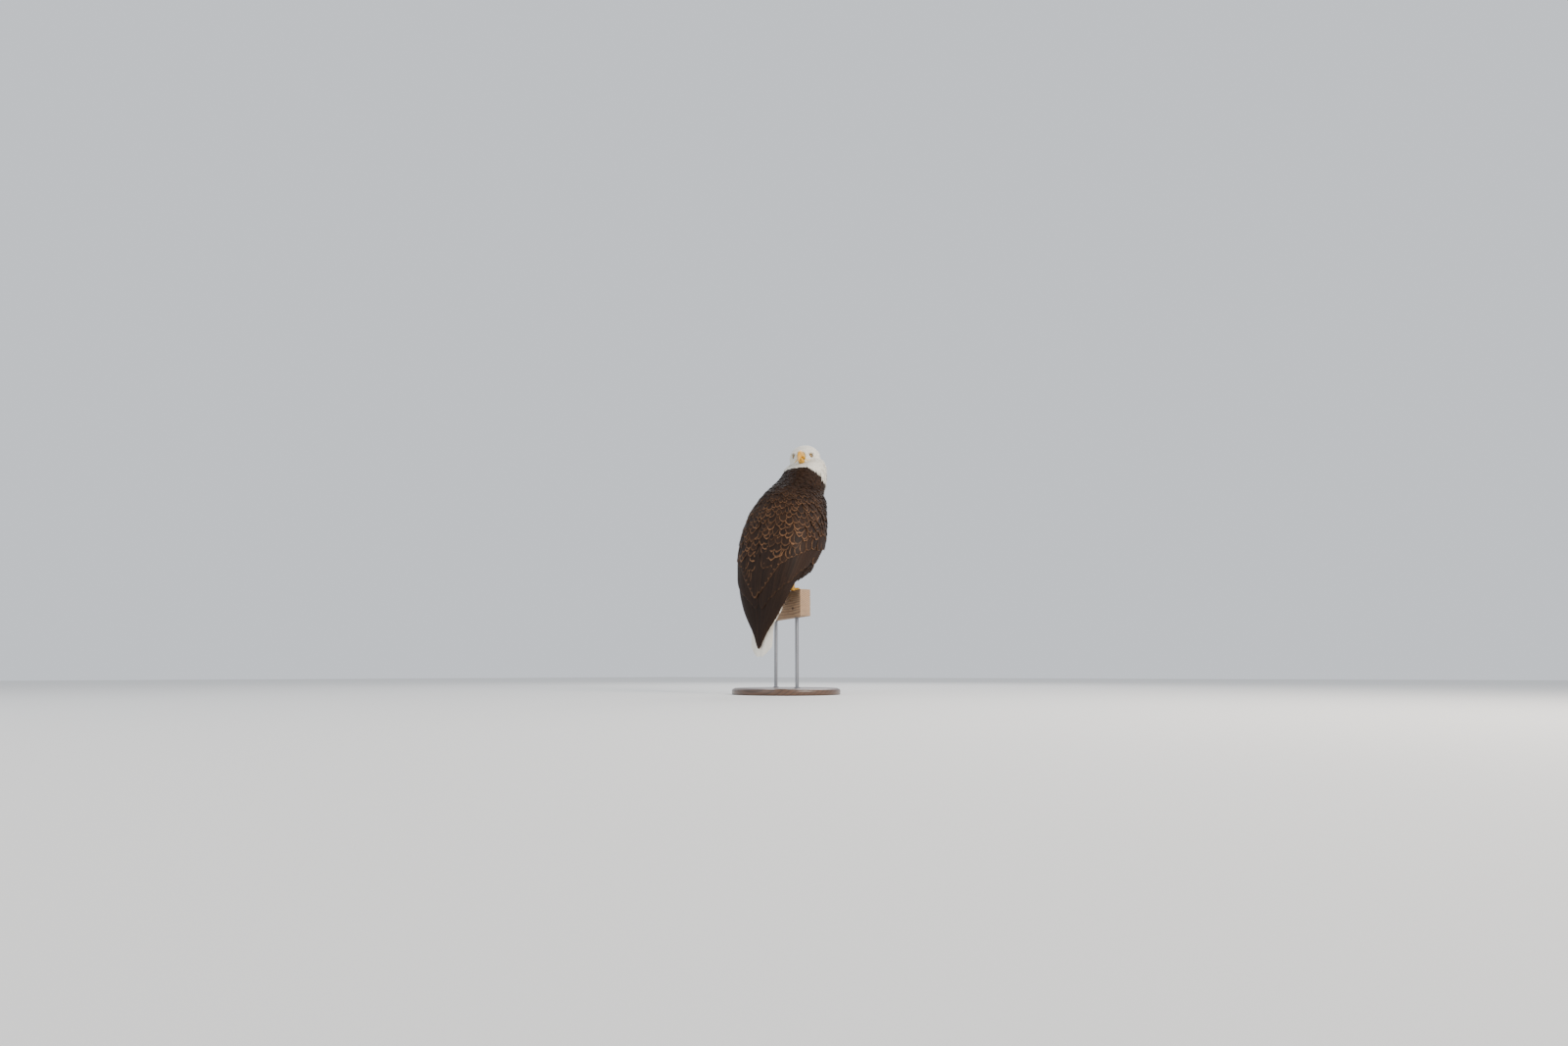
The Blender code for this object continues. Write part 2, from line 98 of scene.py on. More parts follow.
# The folded wing's outer face: height above the perch, centre y, half width, depth, front edge and
# back edge in degrees, thickness of its wall
WING_ROWS = np.array((
    (-0.205, 0.142, 0.010, 0.018, 62, 89.0, 0.005),
    (-0.182, 0.136, 0.022, 0.022, 60, 89.4, 0.006),
    (-0.158, 0.130, 0.034, 0.028, 58, 89.6, 0.008),
    (-0.130, 0.122, 0.051, 0.036, 56, 89.7, 0.011),
    (-0.096, 0.113, 0.074, 0.045, 54, 89.8, 0.013),
    (-0.058, 0.102, 0.095, 0.058, 50, 89.8, 0.016),
    (-0.010, 0.088, 0.114, 0.076, 43, 89.8, 0.020),
    (0.040, 0.072, 0.128, 0.095, 26, 89.4, 0.026),
    (0.090, 0.052, 0.138, 0.112, -6, 87.2, 0.032),
    (0.140, 0.034, 0.145, 0.122, -30, 82, 0.034),
    (0.190, 0.016, 0.145, 0.132, -42, 77, 0.034),
    (0.240, 0.000, 0.137, 0.132, -47, 72, 0.034),
    (0.285, -0.016, 0.127, 0.129, -48, 66, 0.032),
    (0.318, -0.031, 0.116, 0.123, -46, 60, 0.028),
    (0.348, -0.045, 0.102, 0.112, -38, 50, 0.021),
    (0.372, -0.056, 0.088, 0.097, -15, 35, 0.014),
))
WING_TOP = WING_ROWS[-1, 0]
WING_POWER = 2.8  # how square the wing's rounded outline is
MEETING_ANGLE = 8  # where the feathers of breast and back meet above the wings, in degrees
BORDER_OVERLAP = 0.012  # how far brown feathers grow above the white plumage's lower edge
ROOT_DEPTH = -0.0046  # of the body's feathers under its outline
OFBAKE_PATCH = 0.003

made = {}  # helpers that several operators share


# ---------------------------------------------------------------- small helpers


def clamp(value):
    return min(max(value, 0.0), 1.0)


def smooth_step(low, high, value):
    share = clamp((value - low) / (high - low))
    return share * share * (3 - 2 * share)


def blend(a, b, share):
    return a + (b - a) * share


def signed_power(value, power):
    return math.copysign(abs(value) ** power, value)


def mirrored(place, way):
    """The place on the side that way tells: 1 is the bird's left."""
    return Vector((way * place[0], place[1], place[2]))


def new_object(name, mesh, material=None):
    if material:
        mesh.materials.clear()
        mesh.materials.append(material)
    piece = bpy.data.objects.new(name, mesh)
    bpy.context.scene.collection.objects.link(piece)
    return piece


def settle(piece, slot, *nodes):
    """The piece rides on the one body and stands for the nodes. slot is not used."""
    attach(piece, "root")
    if nodes:
        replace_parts(piece, *nodes)
    return piece


def mesh_of(name, points, faces):
    mesh = bpy.data.meshes.new(name)
    mesh.from_pydata([tuple(p) for p in points], [], [tuple(f) for f in faces])
    mesh.update()
    mesh.shade_smooth()
    return mesh


def mesh_from(shape, name):
    """A mesh of the shape, which is then freed."""
    mesh = bpy.data.meshes.new(name)
    shape.to_mesh(mesh)
    shape.free()
    return mesh


def evaluated_mesh(source, name):
    """The mesh that the object's modifiers make. The object is taken away."""
    graph = bpy.context.evaluated_depsgraph_get()
    graph.update()
    mesh = bpy.data.meshes.new_from_object(source.evaluated_get(graph))
    mesh.name = name
    bpy.data.objects.remove(source)
    return mesh


def read(items, key, width=3, kind=float):
    """One property of all the items, as rows of an array."""
    values = np.empty(len(items) * width, dtype=kind)
    items.foreach_get(key, values)
    return values.reshape(-1, width)


def store(mesh, name, kind, values):
    """Writes an attribute of one number, or of a vector, for each point."""
    layer = mesh.attributes.new(name, kind, "POINT")
    layer.data.foreach_set("value" if kind == "FLOAT" else "vector", np.asarray(values).ravel())


def solid(name, points, faces, material, slot, *nodes, sharp=None, **marks):
    """A finished piece: its normals look outwards, and its marks are kept on its points."""
    mesh = mesh_of(name, points, faces)
    shape = bmesh.new()
    shape.from_mesh(mesh)
    bmesh.ops.recalc_face_normals(shape, faces=shape.faces)
    shape.to_mesh(mesh)
    shape.free()
    mesh.shade_smooth()
    if sharp:
        mesh.set_sharp_from_angle(angle=radians(sharp))
    for key, values in marks.items():
        store(mesh, key, "FLOAT", values)
    return settle(new_object(name, mesh, material), slot, *nodes)


# ---------------------------------------------------------------- shader building


class Value:
    """A number in a node tree, for sums in Python's own signs."""

    def __init__(self, nodes, socket):
        self.nodes, self.socket = nodes, socket

    def __add__(self, other):
        return self.nodes.math("ADD", self, other)

    def __sub__(self, other):
        return self.nodes.math("SUBTRACT", self, other)

    def __mul__(self, other):
        return self.nodes.math("MULTIPLY", self, other)

    def __abs__(self):
        return self.nodes.math("ABSOLUTE", self)

    def step(self, low, high, least=0.0):
        """A smooth step from least at low to 1 at high."""
        inputs = {"Value": self, "From Min": low, "From Max": high, "To Min": least}
        return self.nodes.value("ShaderNodeMapRange", inputs, interpolation_type="SMOOTHSTEP")


class Nodes:
    """Builds a node tree in few words."""

    def __init__(self, tree):
        self.tree = tree

    def feed(self, socket, value):
        if isinstance(value, Value):
            self.tree.links.new(value.socket, socket)
        else:
            socket.default_value = (*value, 1.0) if socket.type == "RGBA" else value

    def add(self, kind, inputs=None, **settings):
        node = self.tree.nodes.new(kind)
        for key, value in settings.items():
            setattr(node, key, value)
        for key, value in (inputs or {}).items():
            self.feed(node.inputs[key], value)
        return node

    def value(self, kind, inputs=None, output=0, **settings):
        return Value(self, self.add(kind, inputs, **settings).outputs[output])

    def values(self, kind, inputs=None, **settings):
        """All the outputs of a new node, by name."""
        node = self.add(kind, inputs, **settings)
        return {socket.name: Value(self, socket) for socket in node.outputs}

    def split(self, vector):
        return self.values("ShaderNodeSeparateXYZ", {0: vector}).values()

    def math(self, operation, a, b=0.0):
        return self.value("ShaderNodeMath", {0: a, 1: b}, operation=operation)

    def distance(self, a, b):
        return self.math("SQRT", a * a + b * b)

    def mix(self, mask, a, b):
        return self.value("ShaderNodeMix", {0: mask, 6: a, 7: b}, 2, data_type="RGBA")

    def layers(self, base, *coats):
        """The base with each coat of colour laid over it by its mask."""
        for mask, tint_of in coats:
            base = self.mix(mask, base, tint_of)
        return base

    def noise(self, vector, scale, detail=4.0, roughness=0.5, stretch=None):
        if stretch:
            vector = self.value("ShaderNodeMapping", {"Vector": vector, "Scale": stretch})
        inputs = {"Vector": vector, "Scale": scale, "Detail": detail, "Roughness": roughness}
        return self.value("ShaderNodeTexNoise", inputs)

    def attribute(self, name, output="Fac"):
        return self.value("ShaderNodeAttribute", output=output, attribute_name=name)


class Finish(Nodes):
    """A material in the making, with the given constants on its shader."""

    def __init__(self, name, roughness, **constants):
        self.material = bpy.data.materials.new(name)
        self.material.use_nodes = True
        super().__init__(self.material.node_tree)
        self.shader = self.tree.nodes["Principled BSDF"]
        for key, value in {"Roughness": roughness, **constants}.items():
            self.shader.inputs[key.replace("_", " ")].default_value = value
        self.place = self.value("ShaderNodeTexCoord", output="Object")

    def done(self, base, roughness=None, height=None, strength=0.0, depth=0.0):
        """The material, with its colour, roughness and fine relief fed to the shader."""
        self.feed(self.shader.inputs["Base Color"], base)
        if roughness:
            self.feed(self.shader.inputs["Roughness"], roughness)
        if height:
            inputs = {"Height": height, "Strength": strength, "Distance": depth}
            self.feed(self.shader.inputs["Normal"], self.value("ShaderNodeBump", inputs))
        return self.material


def shade(tint_of, factor):
    return [min(channel * factor, 1.0) for channel in tint_of]


def shader_group(name, inputs, build):
    """A node group with these inputs. build returns its outputs by name; it is made only once."""
    tree = bpy.data.node_groups.get(name)
    if tree:
        return tree
    tree = bpy.data.node_groups.new(name, "ShaderNodeTree")
    for label, start in inputs.items():
        kind = "NodeSocketVector" if start is None else "NodeSocketFloat"
        socket = tree.interface.new_socket(label, in_out="INPUT", socket_type=kind)
        if start is not None:
            socket.default_value = start
    nodes = Nodes(tree)
    given = nodes.values("NodeGroupInput")
    outputs = build(nodes, *(given[label] for label in inputs))
    for label in outputs:
        tree.interface.new_socket(label, in_out="OUTPUT", socket_type="NodeSocketFloat")
    nodes.add("NodeGroupOutput", outputs)
    return tree


def vane_marks():
    """A feather's shaft, barbs, splits and edge, from its own coordinates: across and along."""

    def build(n, across, along, barbs, edge_width, seed):
        away = abs(across)
        shaft = away.step(0.09, 0.02)
        lines = (along - away * 0.16) * barbs
        barb = n.math("SINE", lines * tau) * 0.5 + 0.5
        row = seed * 37.0 + n.math("SIGN", across) * 3.1
        where = n.value("ShaderNodeCombineXYZ", {0: lines * 0.45, 1: row})
        # where the vane splits: a dip in the relief; the colour darkens there too, as painted shade in the
        # gap
        split = n.noise(where, 1.0, 1.0).step(0.63, 0.72) * away.step(0.30, 0.75)
        inside = away + along.step(0.6, 1.0) * 0.25
        start = n.math("SUBTRACT", 1.0, edge_width)
        sides = inside.step(start, 1.0) * along.step(0.35, 0.75)
        tip = along.step(edge_width * -0.42 + 1.0, 0.98)
        return {"Shaft": shaft, "Barb": barb, "Edge": n.math("MAXIMUM", sides, tip), "Split": split,
                "Height": barb * 0.30 + shaft - split * 0.8}

    inputs = {"Across": 0.0, "Along": 0.0, "Barbs": 26.0, "Edge Width": 0.26, "Seed": 0.0}
    return shader_group("vane_marks", inputs, build)


def grain():
    """Timber grain along the given X direction: rings round a pith, broad figure, fine fibre."""

    def build(n, vector, scale):
        scaled = n.value("ShaderNodeVectorMath", {0: vector, "Scale": scale}, operation="SCALE")
        warp = n.noise(scaled, 14.0, 3.0, 0.5, (0.35, 1.0, 1.0))
        _, y, z = n.split(scaled)
        rings = n.distance(y + 0.045, z + 0.115) * 1150.0 + warp * 15.0
        return {"Lines": n.math("SINE", rings) * 0.5 + 0.5,
                "Figure": n.noise(scaled, 22.0, 4.0, 0.55, (0.12, 1.0, 1.0)),
                "Fibre": n.noise(scaled, 420.0, 3.0, 0.6, (0.03, 1.0, 1.0))}

    return shader_group("timber_grain", {"Vector": None, "Scale": 1.0}, build)


def plumage_material(name, tints, barbs, edge_width):
    """Feathers: brown or white by their own attribute, paler at their edges, with shaft and barbs."""
    n = Finish(name, 0.6, Specular_IOR_Level=0.16)
    across, along, _ = n.split(n.attribute("vane", "Vector"))
    tone = n.attribute("tone")
    marks = n.values("ShaderNodeGroup", {"Across": across, "Along": along, "Barbs": barbs,
                                         "Edge Width": edge_width, "Seed": tone},
                     node_tree=vane_marks())
    barb, split = marks["Barb"], marks["Split"]
    ragged = n.noise(n.place, 420.0, 3.0, 0.6).step(0.20, 0.60, 0.45)
    brown = n.layers(
        tints.dark_brown, (tone * 0.62 + n.noise(n.place, 26.0, 3.0) * 0.38, tints.warm_brown),
        (barb * 0.30, tints.dark_brown), (marks["Shaft"] * 0.30, tints.shaft),
        (marks["Edge"] * n.attribute("fringe") * ragged, tints.fringe),
        # splits darkened to dark brown: painted shade in the gaps of the vane
        (split * 0.6, tints.dark_brown),
    )
    white = n.layers(
        # each white feather darkens to white_shade towards its root: painted shade where the feathers
        # overlap
        tints.white_shade, (along.step(0.0, 0.55), tints.white),
        # on the next line, the barbs' darker tone is the feathers' own; the splits' darkening is painted
        # shade in their gaps
        (barb * tone * 0.30, tints.white_shade), (split * 0.4, tints.white_shade),
    )
    base = n.mix(n.attribute("white"), brown, white)
    return n.done(base, barb * 0.14 + 0.52, marks["Height"], 0.30, 0.0005)


def plumage(kind):
    """The material of contour, long or small feathers, made once."""
    if kind not in made:
        barbs, edge_width = {"contour": (24.0, 0.27), "long": (80.0, 0.13), "small": (7.0, 0.20)}[kind]
        tints = bpy.context.scene.eagle_tints
        made[kind] = plumage_material(f"{kind}_feathers", tints, barbs, edge_width)
    return made[kind]


# ---------------------------------------------------------------- the body's surface


def neighbour_sum(values, ends):
    """For each point, the sum of the values at the other ends of its edges."""
    total = np.zeros_like(values)
    for here, there in (ends, ends[::-1]):
        np.add.at(total, here, values[there])
    return total


class Surface:
    """A mesh to be met by rays, with softened normals."""

    def __init__(self, mesh, softening=0):
        self.mesh = mesh
        self.points = read(mesh.vertices, "co")
        self.faces = [tuple(face.vertices) for face in mesh.polygons]
        self.tree = BVHTree.FromPolygons([Vector(p) for p in self.points], self.faces)
        self.normals = read(mesh.vertices, "normal")
        ends = read(mesh.edges, "vertices", 2, int).T
        for _ in range(softening):
            total = self.normals + neighbour_sum(self.normals, ends)
            self.normals = total / np.linalg.norm(total, axis=1, keepdims=True)

    def normal_at(self, index):
        normal = self.normals[list(self.faces[index])].mean(axis=0)
        return Vector(normal).normalized()

    def inwards(self, centre, direction, reach=0.35):
        """Where a ray from outside, along -direction to the centre, meets the surface."""
        place, _, index, _ = self.tree.ray_cast(centre + direction * reach, -direction, reach)
        return (place, self.normal_at(index)) if place else (None, None)

    def nearest(self, point):
        place, _, index, distance = self.tree.find_nearest(point)
        return place, self.normal_at(index), distance


def node_mesh(name, grow=0.0):
    """A merged copy of a node's mesh, grown by a little."""
    shape = bmesh.new()
    shape.from_mesh(frame["nodes"][name].data)
    bmesh.ops.remove_doubles(shape, verts=shape.verts, dist=1e-5)
    shape.normal_update()
    for vertex in shape.verts:
        vertex.co += vertex.normal * grow
    return mesh_from(shape, name + "_shape")


def even_out(mesh, rounds=22):
    """Smooths the steps at the wings' edges away, and leaves head, legs and tail as they are."""
    points = read(mesh.vertices, "co")
    ends = read(mesh.edges, "vertices", 2, int).T
    shares = neighbour_sum(np.ones((len(points), 1)), ends)
    height = points[:, 2:] - PERCH_TOP
    under_head, over_legs = 0.425 - height, height + 0.02
    behind_legs = points[:, 1:2] + AXIS_LEAN * height - 0.02
    pull = 0.6
    for room in (under_head, over_legs, behind_legs):
        pull = pull * np.clip(room / 0.03, 0, 1)
    for _ in range(rounds):
        points = points + (neighbour_sum(points, ends) / shares - points) * pull
    mesh.vertices.foreach_set("co", points.ravel())
    mesh.update()


def body_outline():
    """The plumage's outer form as one closed surface, and each node of flesh on its own."""
    if "outline" in made:
        return made["outline"]
    whole = bmesh.new()
    for name in FLESH:
        grown = node_mesh(name, 0.0009)
        whole.from_mesh(grown)
        bpy.data.meshes.remove(grown)
        made[name] = Surface(node_mesh(name))
    rough = new_object("rough_outline", mesh_from(whole, "joined"))
    remesh = rough.modifiers.new("one_surface", "REMESH")
    remesh.mode = "VOXEL"
    remesh.voxel_size = 0.0031
    soften = rough.modifiers.new("soften", "SMOOTH")
    soften.iterations = 5
    mesh = evaluated_mesh(rough, "outline")
    even_out(mesh)
    made["outline"] = Surface(mesh, softening=10)
    store(mesh, "outwards", "FLOAT_VECTOR", made["outline"].normals)
    return made["outline"]


def owner(point):
    """The node of flesh whose surface is nearest."""
    return min(FLESH, key=lambda name: made[name].tree.find_nearest(point)[3])


def bend_at(height):
    """The sideways place of the body's middle at this height above the perch."""
    return -BEND_LEAN * max(height - BEND_START, 0)


def body_axis(height):
    return Vector((bend_at(height), AXIS_START - AXIS_LEAN * height, PERCH_TOP + height))


def around(angle):
    """A level direction: 0 is the bird's left, 90 its back, 270 its breast."""
    return Vector((cos(radians(angle)), sin(radians(angle)), 0))


def wing_row(height):
    return [np.interp(height, WING_ROWS[:, 0], WING_ROWS[:, k]) for k in range(1, 7)]


def wing_point(side, angle, height, lift=0.0, inside=False):
    """A place on the folded wing's outer or inner face, raised by lift, and the way outwards."""
    centre_y, half_width, depth, front, back, thickness = wing_row(height)
    c, s = cos(radians(angle)), sin(radians(angle))
    power = 2 / WING_POWER
    flat = Vector((half_width * signed_power(c, power), depth * signed_power(s, power), 0))
    slope = (signed_power(c, 2 - power) / half_width, signed_power(s, 2 - power) / depth, 0)
    outwards = Vector(slope).normalized()
    if inside:
        share = clamp((angle - front) / max(back - front, 1e-6))
        flat = flat - flat.normalized() * thickness * (0.4 + 0.6 * sin(pi * share))
        outwards = -outwards
    flat = flat + outwards * lift
    place = Vector((side * flat.x + bend_at(height), centre_y + flat.y, PERCH_TOP + height))
    return place, mirrored(outwards, side)


def wing_front(height):
    """The angle about the body's axis at which the left wing begins, or a set one above it."""
    if height >= WING_TOP:
        return MEETING_ANGLE
    place, _ = wing_point(1, wing_row(height)[3], height)
    away = place - body_axis(height)
    return math.degrees(math.atan2(away.y, away.x))


def wing_line(side, root, tip, count, lift_root, lift_tip, inside=False):
    """A feather's line over the wing from root to tip, each as (angle, height), and its outer ways."""
    steps = [k / (count - 1) for k in range(count)]
    spots = [wing_point(side, blend(root[0], tip[0], t), blend(root[1], tip[1], t),
                        blend(lift_root, lift_tip, t), inside) for t in steps]
    return zip(*spots)


def white_border(point):
    """The height above the perch at which the white plumage ends."""
    return 0.470 + 0.54 * point.y + 0.004 * noise.noise(point * 45)


def eye_lines():
    """Each eye's middle and the way it looks, in the head's frame."""
    return [(mirrored(EYE_PLACE, way), mirrored(GAZE, way)) for _, way in SIDES]


def off_line(point, start, way):
    """How far along a line, and how far off it, the point lies."""
    away = point - start
    along = away.dot(way)
    return along, (away - way * along).length


def brown_root(middle, angle, *owners):
    """A place and its way outwards at this angle round the middle, if its feathers are brown."""
    place, out = body_outline().inwards(middle, around(angle))
    if place is None or owner(place) not in owners:
        return None, None
    brown = place.z - PERCH_TOP <= white_border(place) + BORDER_OVERLAP
    return (place, out) if brown else (None, None)


def scatter(surface, spacing, tries, low, seed):
    """Places above low, each at least spacing(place) from the others, and their ways outwards."""
    draw = np.random.default_rng(seed)
    quads = np.array([face for face in surface.faces if len(face) == 4])
    corners = surface.points[quads]
    kept = corners[:, :, 2].min(axis=1) > low
    quads, corners = quads[kept], corners[kept]
    spans = np.cross(corners[:, 2] - corners[:, 0], corners[:, 3] - corners[:, 1])
    area = np.linalg.norm(spans, axis=1)
    pick = draw.choice(len(quads), tries, p=area / area.sum())
    u, v = draw.uniform(size=(2, tries, 1))
    shares = ((1 - u) * (1 - v), u * (1 - v), u * v, (1 - u) * v)
    places = sum(share * corners[pick, k] for k, share in enumerate(shares))
    ways = sum(share * surface.normals[quads[pick, k]] for k, share in enumerate(shares))
    cell, grid, found = 0.006, {}, []
    for place, way in zip(places, ways):
        place = Vector(place)
        reach = spacing(place)
        if not reach:
            continue
        x, y, z = (math.floor(c / cell) for c in place)
        near = (
            other for i in (x - 1, x, x + 1) for j in (y - 1, y, y + 1) for k in (z - 1, z, z + 1)
            for other in grid.get((i, j, k), ())
        )
        if all((other - place).length_squared > reach * reach for other in near):
            grid.setdefault((x, y, z), []).append(place)
            found.append((place, Vector(way).normalized()))
    return found


def rows_down(height, stop, step, row=0):
    """Each row's number and height, from the top down. step(height) is the way to the next one."""
    while height > stop:
        yield row, height
        height -= step(height)
        row += 1


def ring_angles(count, row, draw=None, wobble=0.0):
    """Angles round a ring of feathers, every second row shifted by half a step."""
    for i in range(count):
        yield 360 * (i + 0.5 * (row % 2) + (draw.uniform(-wobble, wobble) if draw else 0)) / count


# ---------------------------------------------------------------- small feathers


def vane_outline(root, growth, start, run, bend, least, fall=0.5):
    """Half the width of a small feather along its length: it grows at the root and ends in a tip."""
    def half_width(t):
        return min(1.0, root + growth * t) * max(1 - max(0, (t - start) / run) ** bend, least) ** fall
    return half_width


ROUNDED = vane_outline(0.5, 1.1, 0.55, 0.46, 2.2, 0.02)
POINTED = vane_outline(0.55, 1.3, 0.30, 0.72, 1.6, 0.08, 1)
BLUNT = vane_outline(0.6, 1.0, 0.66, 0.36, 2.5, 0.03)
SLIM = vane_outline(0.6, 1.2, 0.35, 0.67, 2.0, 0.02)
VANES = {  # the vanes of each kind of coat: outline, rows, columns, camber, how far the edge splits
    "body": ((ROUNDED, 7, 4, 0.0006, 0), (POINTED, 6, 4, 0.0005, 0), (BLUNT, 7, 4, 0.0006, 0.16)),
    "hackle": ((POINTED, 6, 2, 0.0004, 0), (SLIM, 6, 2, 0.0003, 0.20),
               (lambda t: POINTED(min(t * 1.1, 1)), 6, 2, 0.0004, 0.12)),
    "small": ((SLIM, 3, 2, 0.00014, 0), (SLIM, 4, 2, 0.0001, 0.2)),
}


def vane_shape(name, half_width, rows, across, camber, split):
    """A closed vane one unit long and wide: a raised shaft and drooping edges over a plain back."""
    points, marks, faces = [], [], []
    wide = across + 1
    for k in range(rows + 1):
        t = k / rows
        for u in np.linspace(-1, 1, wide):
            along = t + ((k == rows) - (k == 0)) * 0.045 * (1 - u * u)
            ragged = 1 - split * (k % 2) * abs(u) ** 3
            rise = camber * (1 - abs(u) ** 1.6) * (0.4 + 0.6 * sin(pi * min(t + 0.15, 1)))
            points.append((0.5 * u * half_width(t) * ragged, along, 0.0))
            marks.append((u, along, rise))
    for k in range(rows):
        low, high = k * wide, (k + 1) * wide
        faces += [(low + i, low + i + 1, high + i + 1, high + i) for i in range(across)]
        faces.append((low, high, high + across, low + across))
    faces += [range(across, -1, -1), range(rows * wide, (rows + 1) * wide)]
    mesh = mesh_of(name, points, faces)
    mesh.set_sharp_from_angle(angle=radians(70))
    store(mesh, "vane", "FLOAT_VECTOR", marks)
    return bpy.data.objects.new(name, mesh)


def vane_library(kind):
    """The collection of vane shapes that a kind of coat picks from."""
    name = "vanes_" + kind
    if name not in bpy.data.collections:
        group = bpy.data.collections.new(name)
        for k, form in enumerate(VANES[kind]):
            group.objects.link(vane_shape(f"{kind}_{k}", *form))
    return bpy.data.collections[name]


class Roots:
    """Where feathers grow: place, the way out, the way they lie, and their sizes."""

    def __init__(self, seed):
        self.rows = []
        self.random = np.random.default_rng(seed)

    def add(self, place, out, lie, width, length, low, high, hug=1.0, white=0.0, fringe=0.0,
            shape=0, stray=6.0):
        """One feather. It rises from low at its root to high at its tip, and hugs the surface."""
        lie = lie - out * lie.dot(out)
        if lie.length < 1e-6:
            return
        draw = self.random
        lie = Matrix.Rotation(radians(draw.normal(0, stray)), 3, out) @ lie.normalized()
        spin = Matrix((lie.cross(out), lie, out)).transposed().to_euler()
        size = 1 + draw.normal(0, 0.09)
        self.rows.append((
            *place, *spin, width * size, length * size, 1.0, low, high + draw.uniform(-1, 1) * 0.0003,
            hug, *out, draw.uniform(), white, fringe, shape,
        ))

    def mesh(self, name, unwrap):
        """The roots as loose points with their attributes."""
        rows = np.array(self.rows)
        mesh = mesh_of(name, rows[:, :3], ())
        for k, key in enumerate(("spin", "size", "lift", "up"), 1):
            store(mesh, key, "FLOAT_VECTOR", rows[:, 3 * k:3 * k + 3])
        for k, key in enumerate(("tone", "white", "fringe", "shape"), 15):
            store(mesh, key, "FLOAT", rows[:, k])
        flat = np.array([(*unwrap(Vector(row[:3])), 0.0) for row in rows])
        low, high = flat.min(axis=0), flat.max(axis=0) + (0, 0, 1)
        inset = np.array((0.012, 0.012, 0))
        store(mesh, "root_uv", "FLOAT_VECTOR", inset + 0.973 * (flat - low) / (high - low))
        return mesh


def coat_tree():
    """Lays a vane at every root, bends it to the surface below and lifts it from root to tip."""
    tree = bpy.data.node_groups.get("feather_coat")
    if tree:
        return tree
    tree = bpy.data.node_groups.new("feather_coat", "GeometryNodeTree")
    for label, kind in (("Geometry", "Geometry"), ("Surface", "Object"), ("Vanes", "Collection"),
                        ("Material", "Material"), ("Patch", "Float")):
        tree.interface.new_socket(label, in_out="INPUT", socket_type="NodeSocket" + kind)
    tree.interface.new_socket("Geometry", in_out="OUTPUT", socket_type="NodeSocketGeometry")
    n = Nodes(tree)
    given = n.values("NodeGroupInput")

    def named(label, kind="FLOAT_VECTOR"):
        return n.value("GeometryNodeInputNamedAttribute", {"Name": label}, "Attribute", data_type=kind)

    def moved(place, way, length):
        step = n.value("ShaderNodeVectorMath", {0: way, "Scale": length}, operation="SCALE")
        return n.value("ShaderNodeVectorMath", {0: place, 1: step}, operation="ADD")

    vanes = n.value("GeometryNodeCollectionInfo", {
        "Collection": given["Vanes"], "Separate Children": True, "Reset Children": True})
    placed = n.value("GeometryNodeInstanceOnPoints", {
        "Points": n.value("GeometryNodeMeshToPoints", {"Mesh": given["Geometry"]}),
        "Instance": vanes, "Pick Instance": True, "Instance Index": named("shape", "FLOAT"),
        "Rotation": n.value("FunctionNodeEulerToRotation", {0: named("spin")}),
        "Scale": named("size"),
    })
    across, along, camber = n.split(named("vane"))
    low, high, hug = n.split(named("lift"))
    height = low + (high - low) * n.math("MAXIMUM", along, 0.0) + camber
    here = n.value("GeometryNodeInputPosition")
    ground = n.value("GeometryNodeObjectInfo", {"Object": given["Surface"]}, "Geometry")
    below, slope = (
        n.value("GeometryNodeSampleNearestSurface",
                {"Mesh": ground, "Value": value, "Sample Position": here}, data_type="FLOAT_VECTOR")
        for value in (here, named("outwards"))
    )
    outwards = n.value("ShaderNodeVectorMath", {0: slope}, operation="NORMALIZE")
    straight, laid = moved(here, named("up"), height), moved(below, outwards, height)
    place = n.value("ShaderNodeMix", {0: hug, 4: straight, 5: laid}, 1, data_type="VECTOR")
    bent = n.value("GeometryNodeSetPosition", {
        "Geometry": n.value("GeometryNodeRealizeInstances", {0: placed}), "Position": place})
    local = n.value("ShaderNodeCombineXYZ", {0: across * 0.5 + 0.5, 1: along})
    mapped = n.value("GeometryNodeStoreNamedAttribute", {
        "Geometry": bent, "Name": "OFBake", "Value": moved(named("root_uv"), local, given["Patch"]),
    }, data_type="FLOAT2", domain="CORNER")
    dressed = n.value("GeometryNodeSetMaterial", {
        "Geometry": n.value("GeometryNodeSetShadeSmooth", {0: mapped}), "Material": given["Material"],
    })
    n.add("NodeGroupOutput", {0: dressed})
    return tree


def drop_stretched(mesh, longest):
    """Takes away whole vanes that were drawn out between two surfaces."""
    shape = bmesh.new()
    shape.from_mesh(mesh)
    waiting = [v for e in shape.edges if e.calc_length() > longest for v in e.verts]
    found = set(waiting)
    while waiting:
        vertex = waiting.pop()
        others = {edge.other_vert(vertex) for edge in vertex.link_edges} - found
        found |= others
        waiting += others
    if found:
        bmesh.ops.delete(shape, geom=list(found), context="VERTS")
        shape.to_mesh(mesh)
    shape.free()


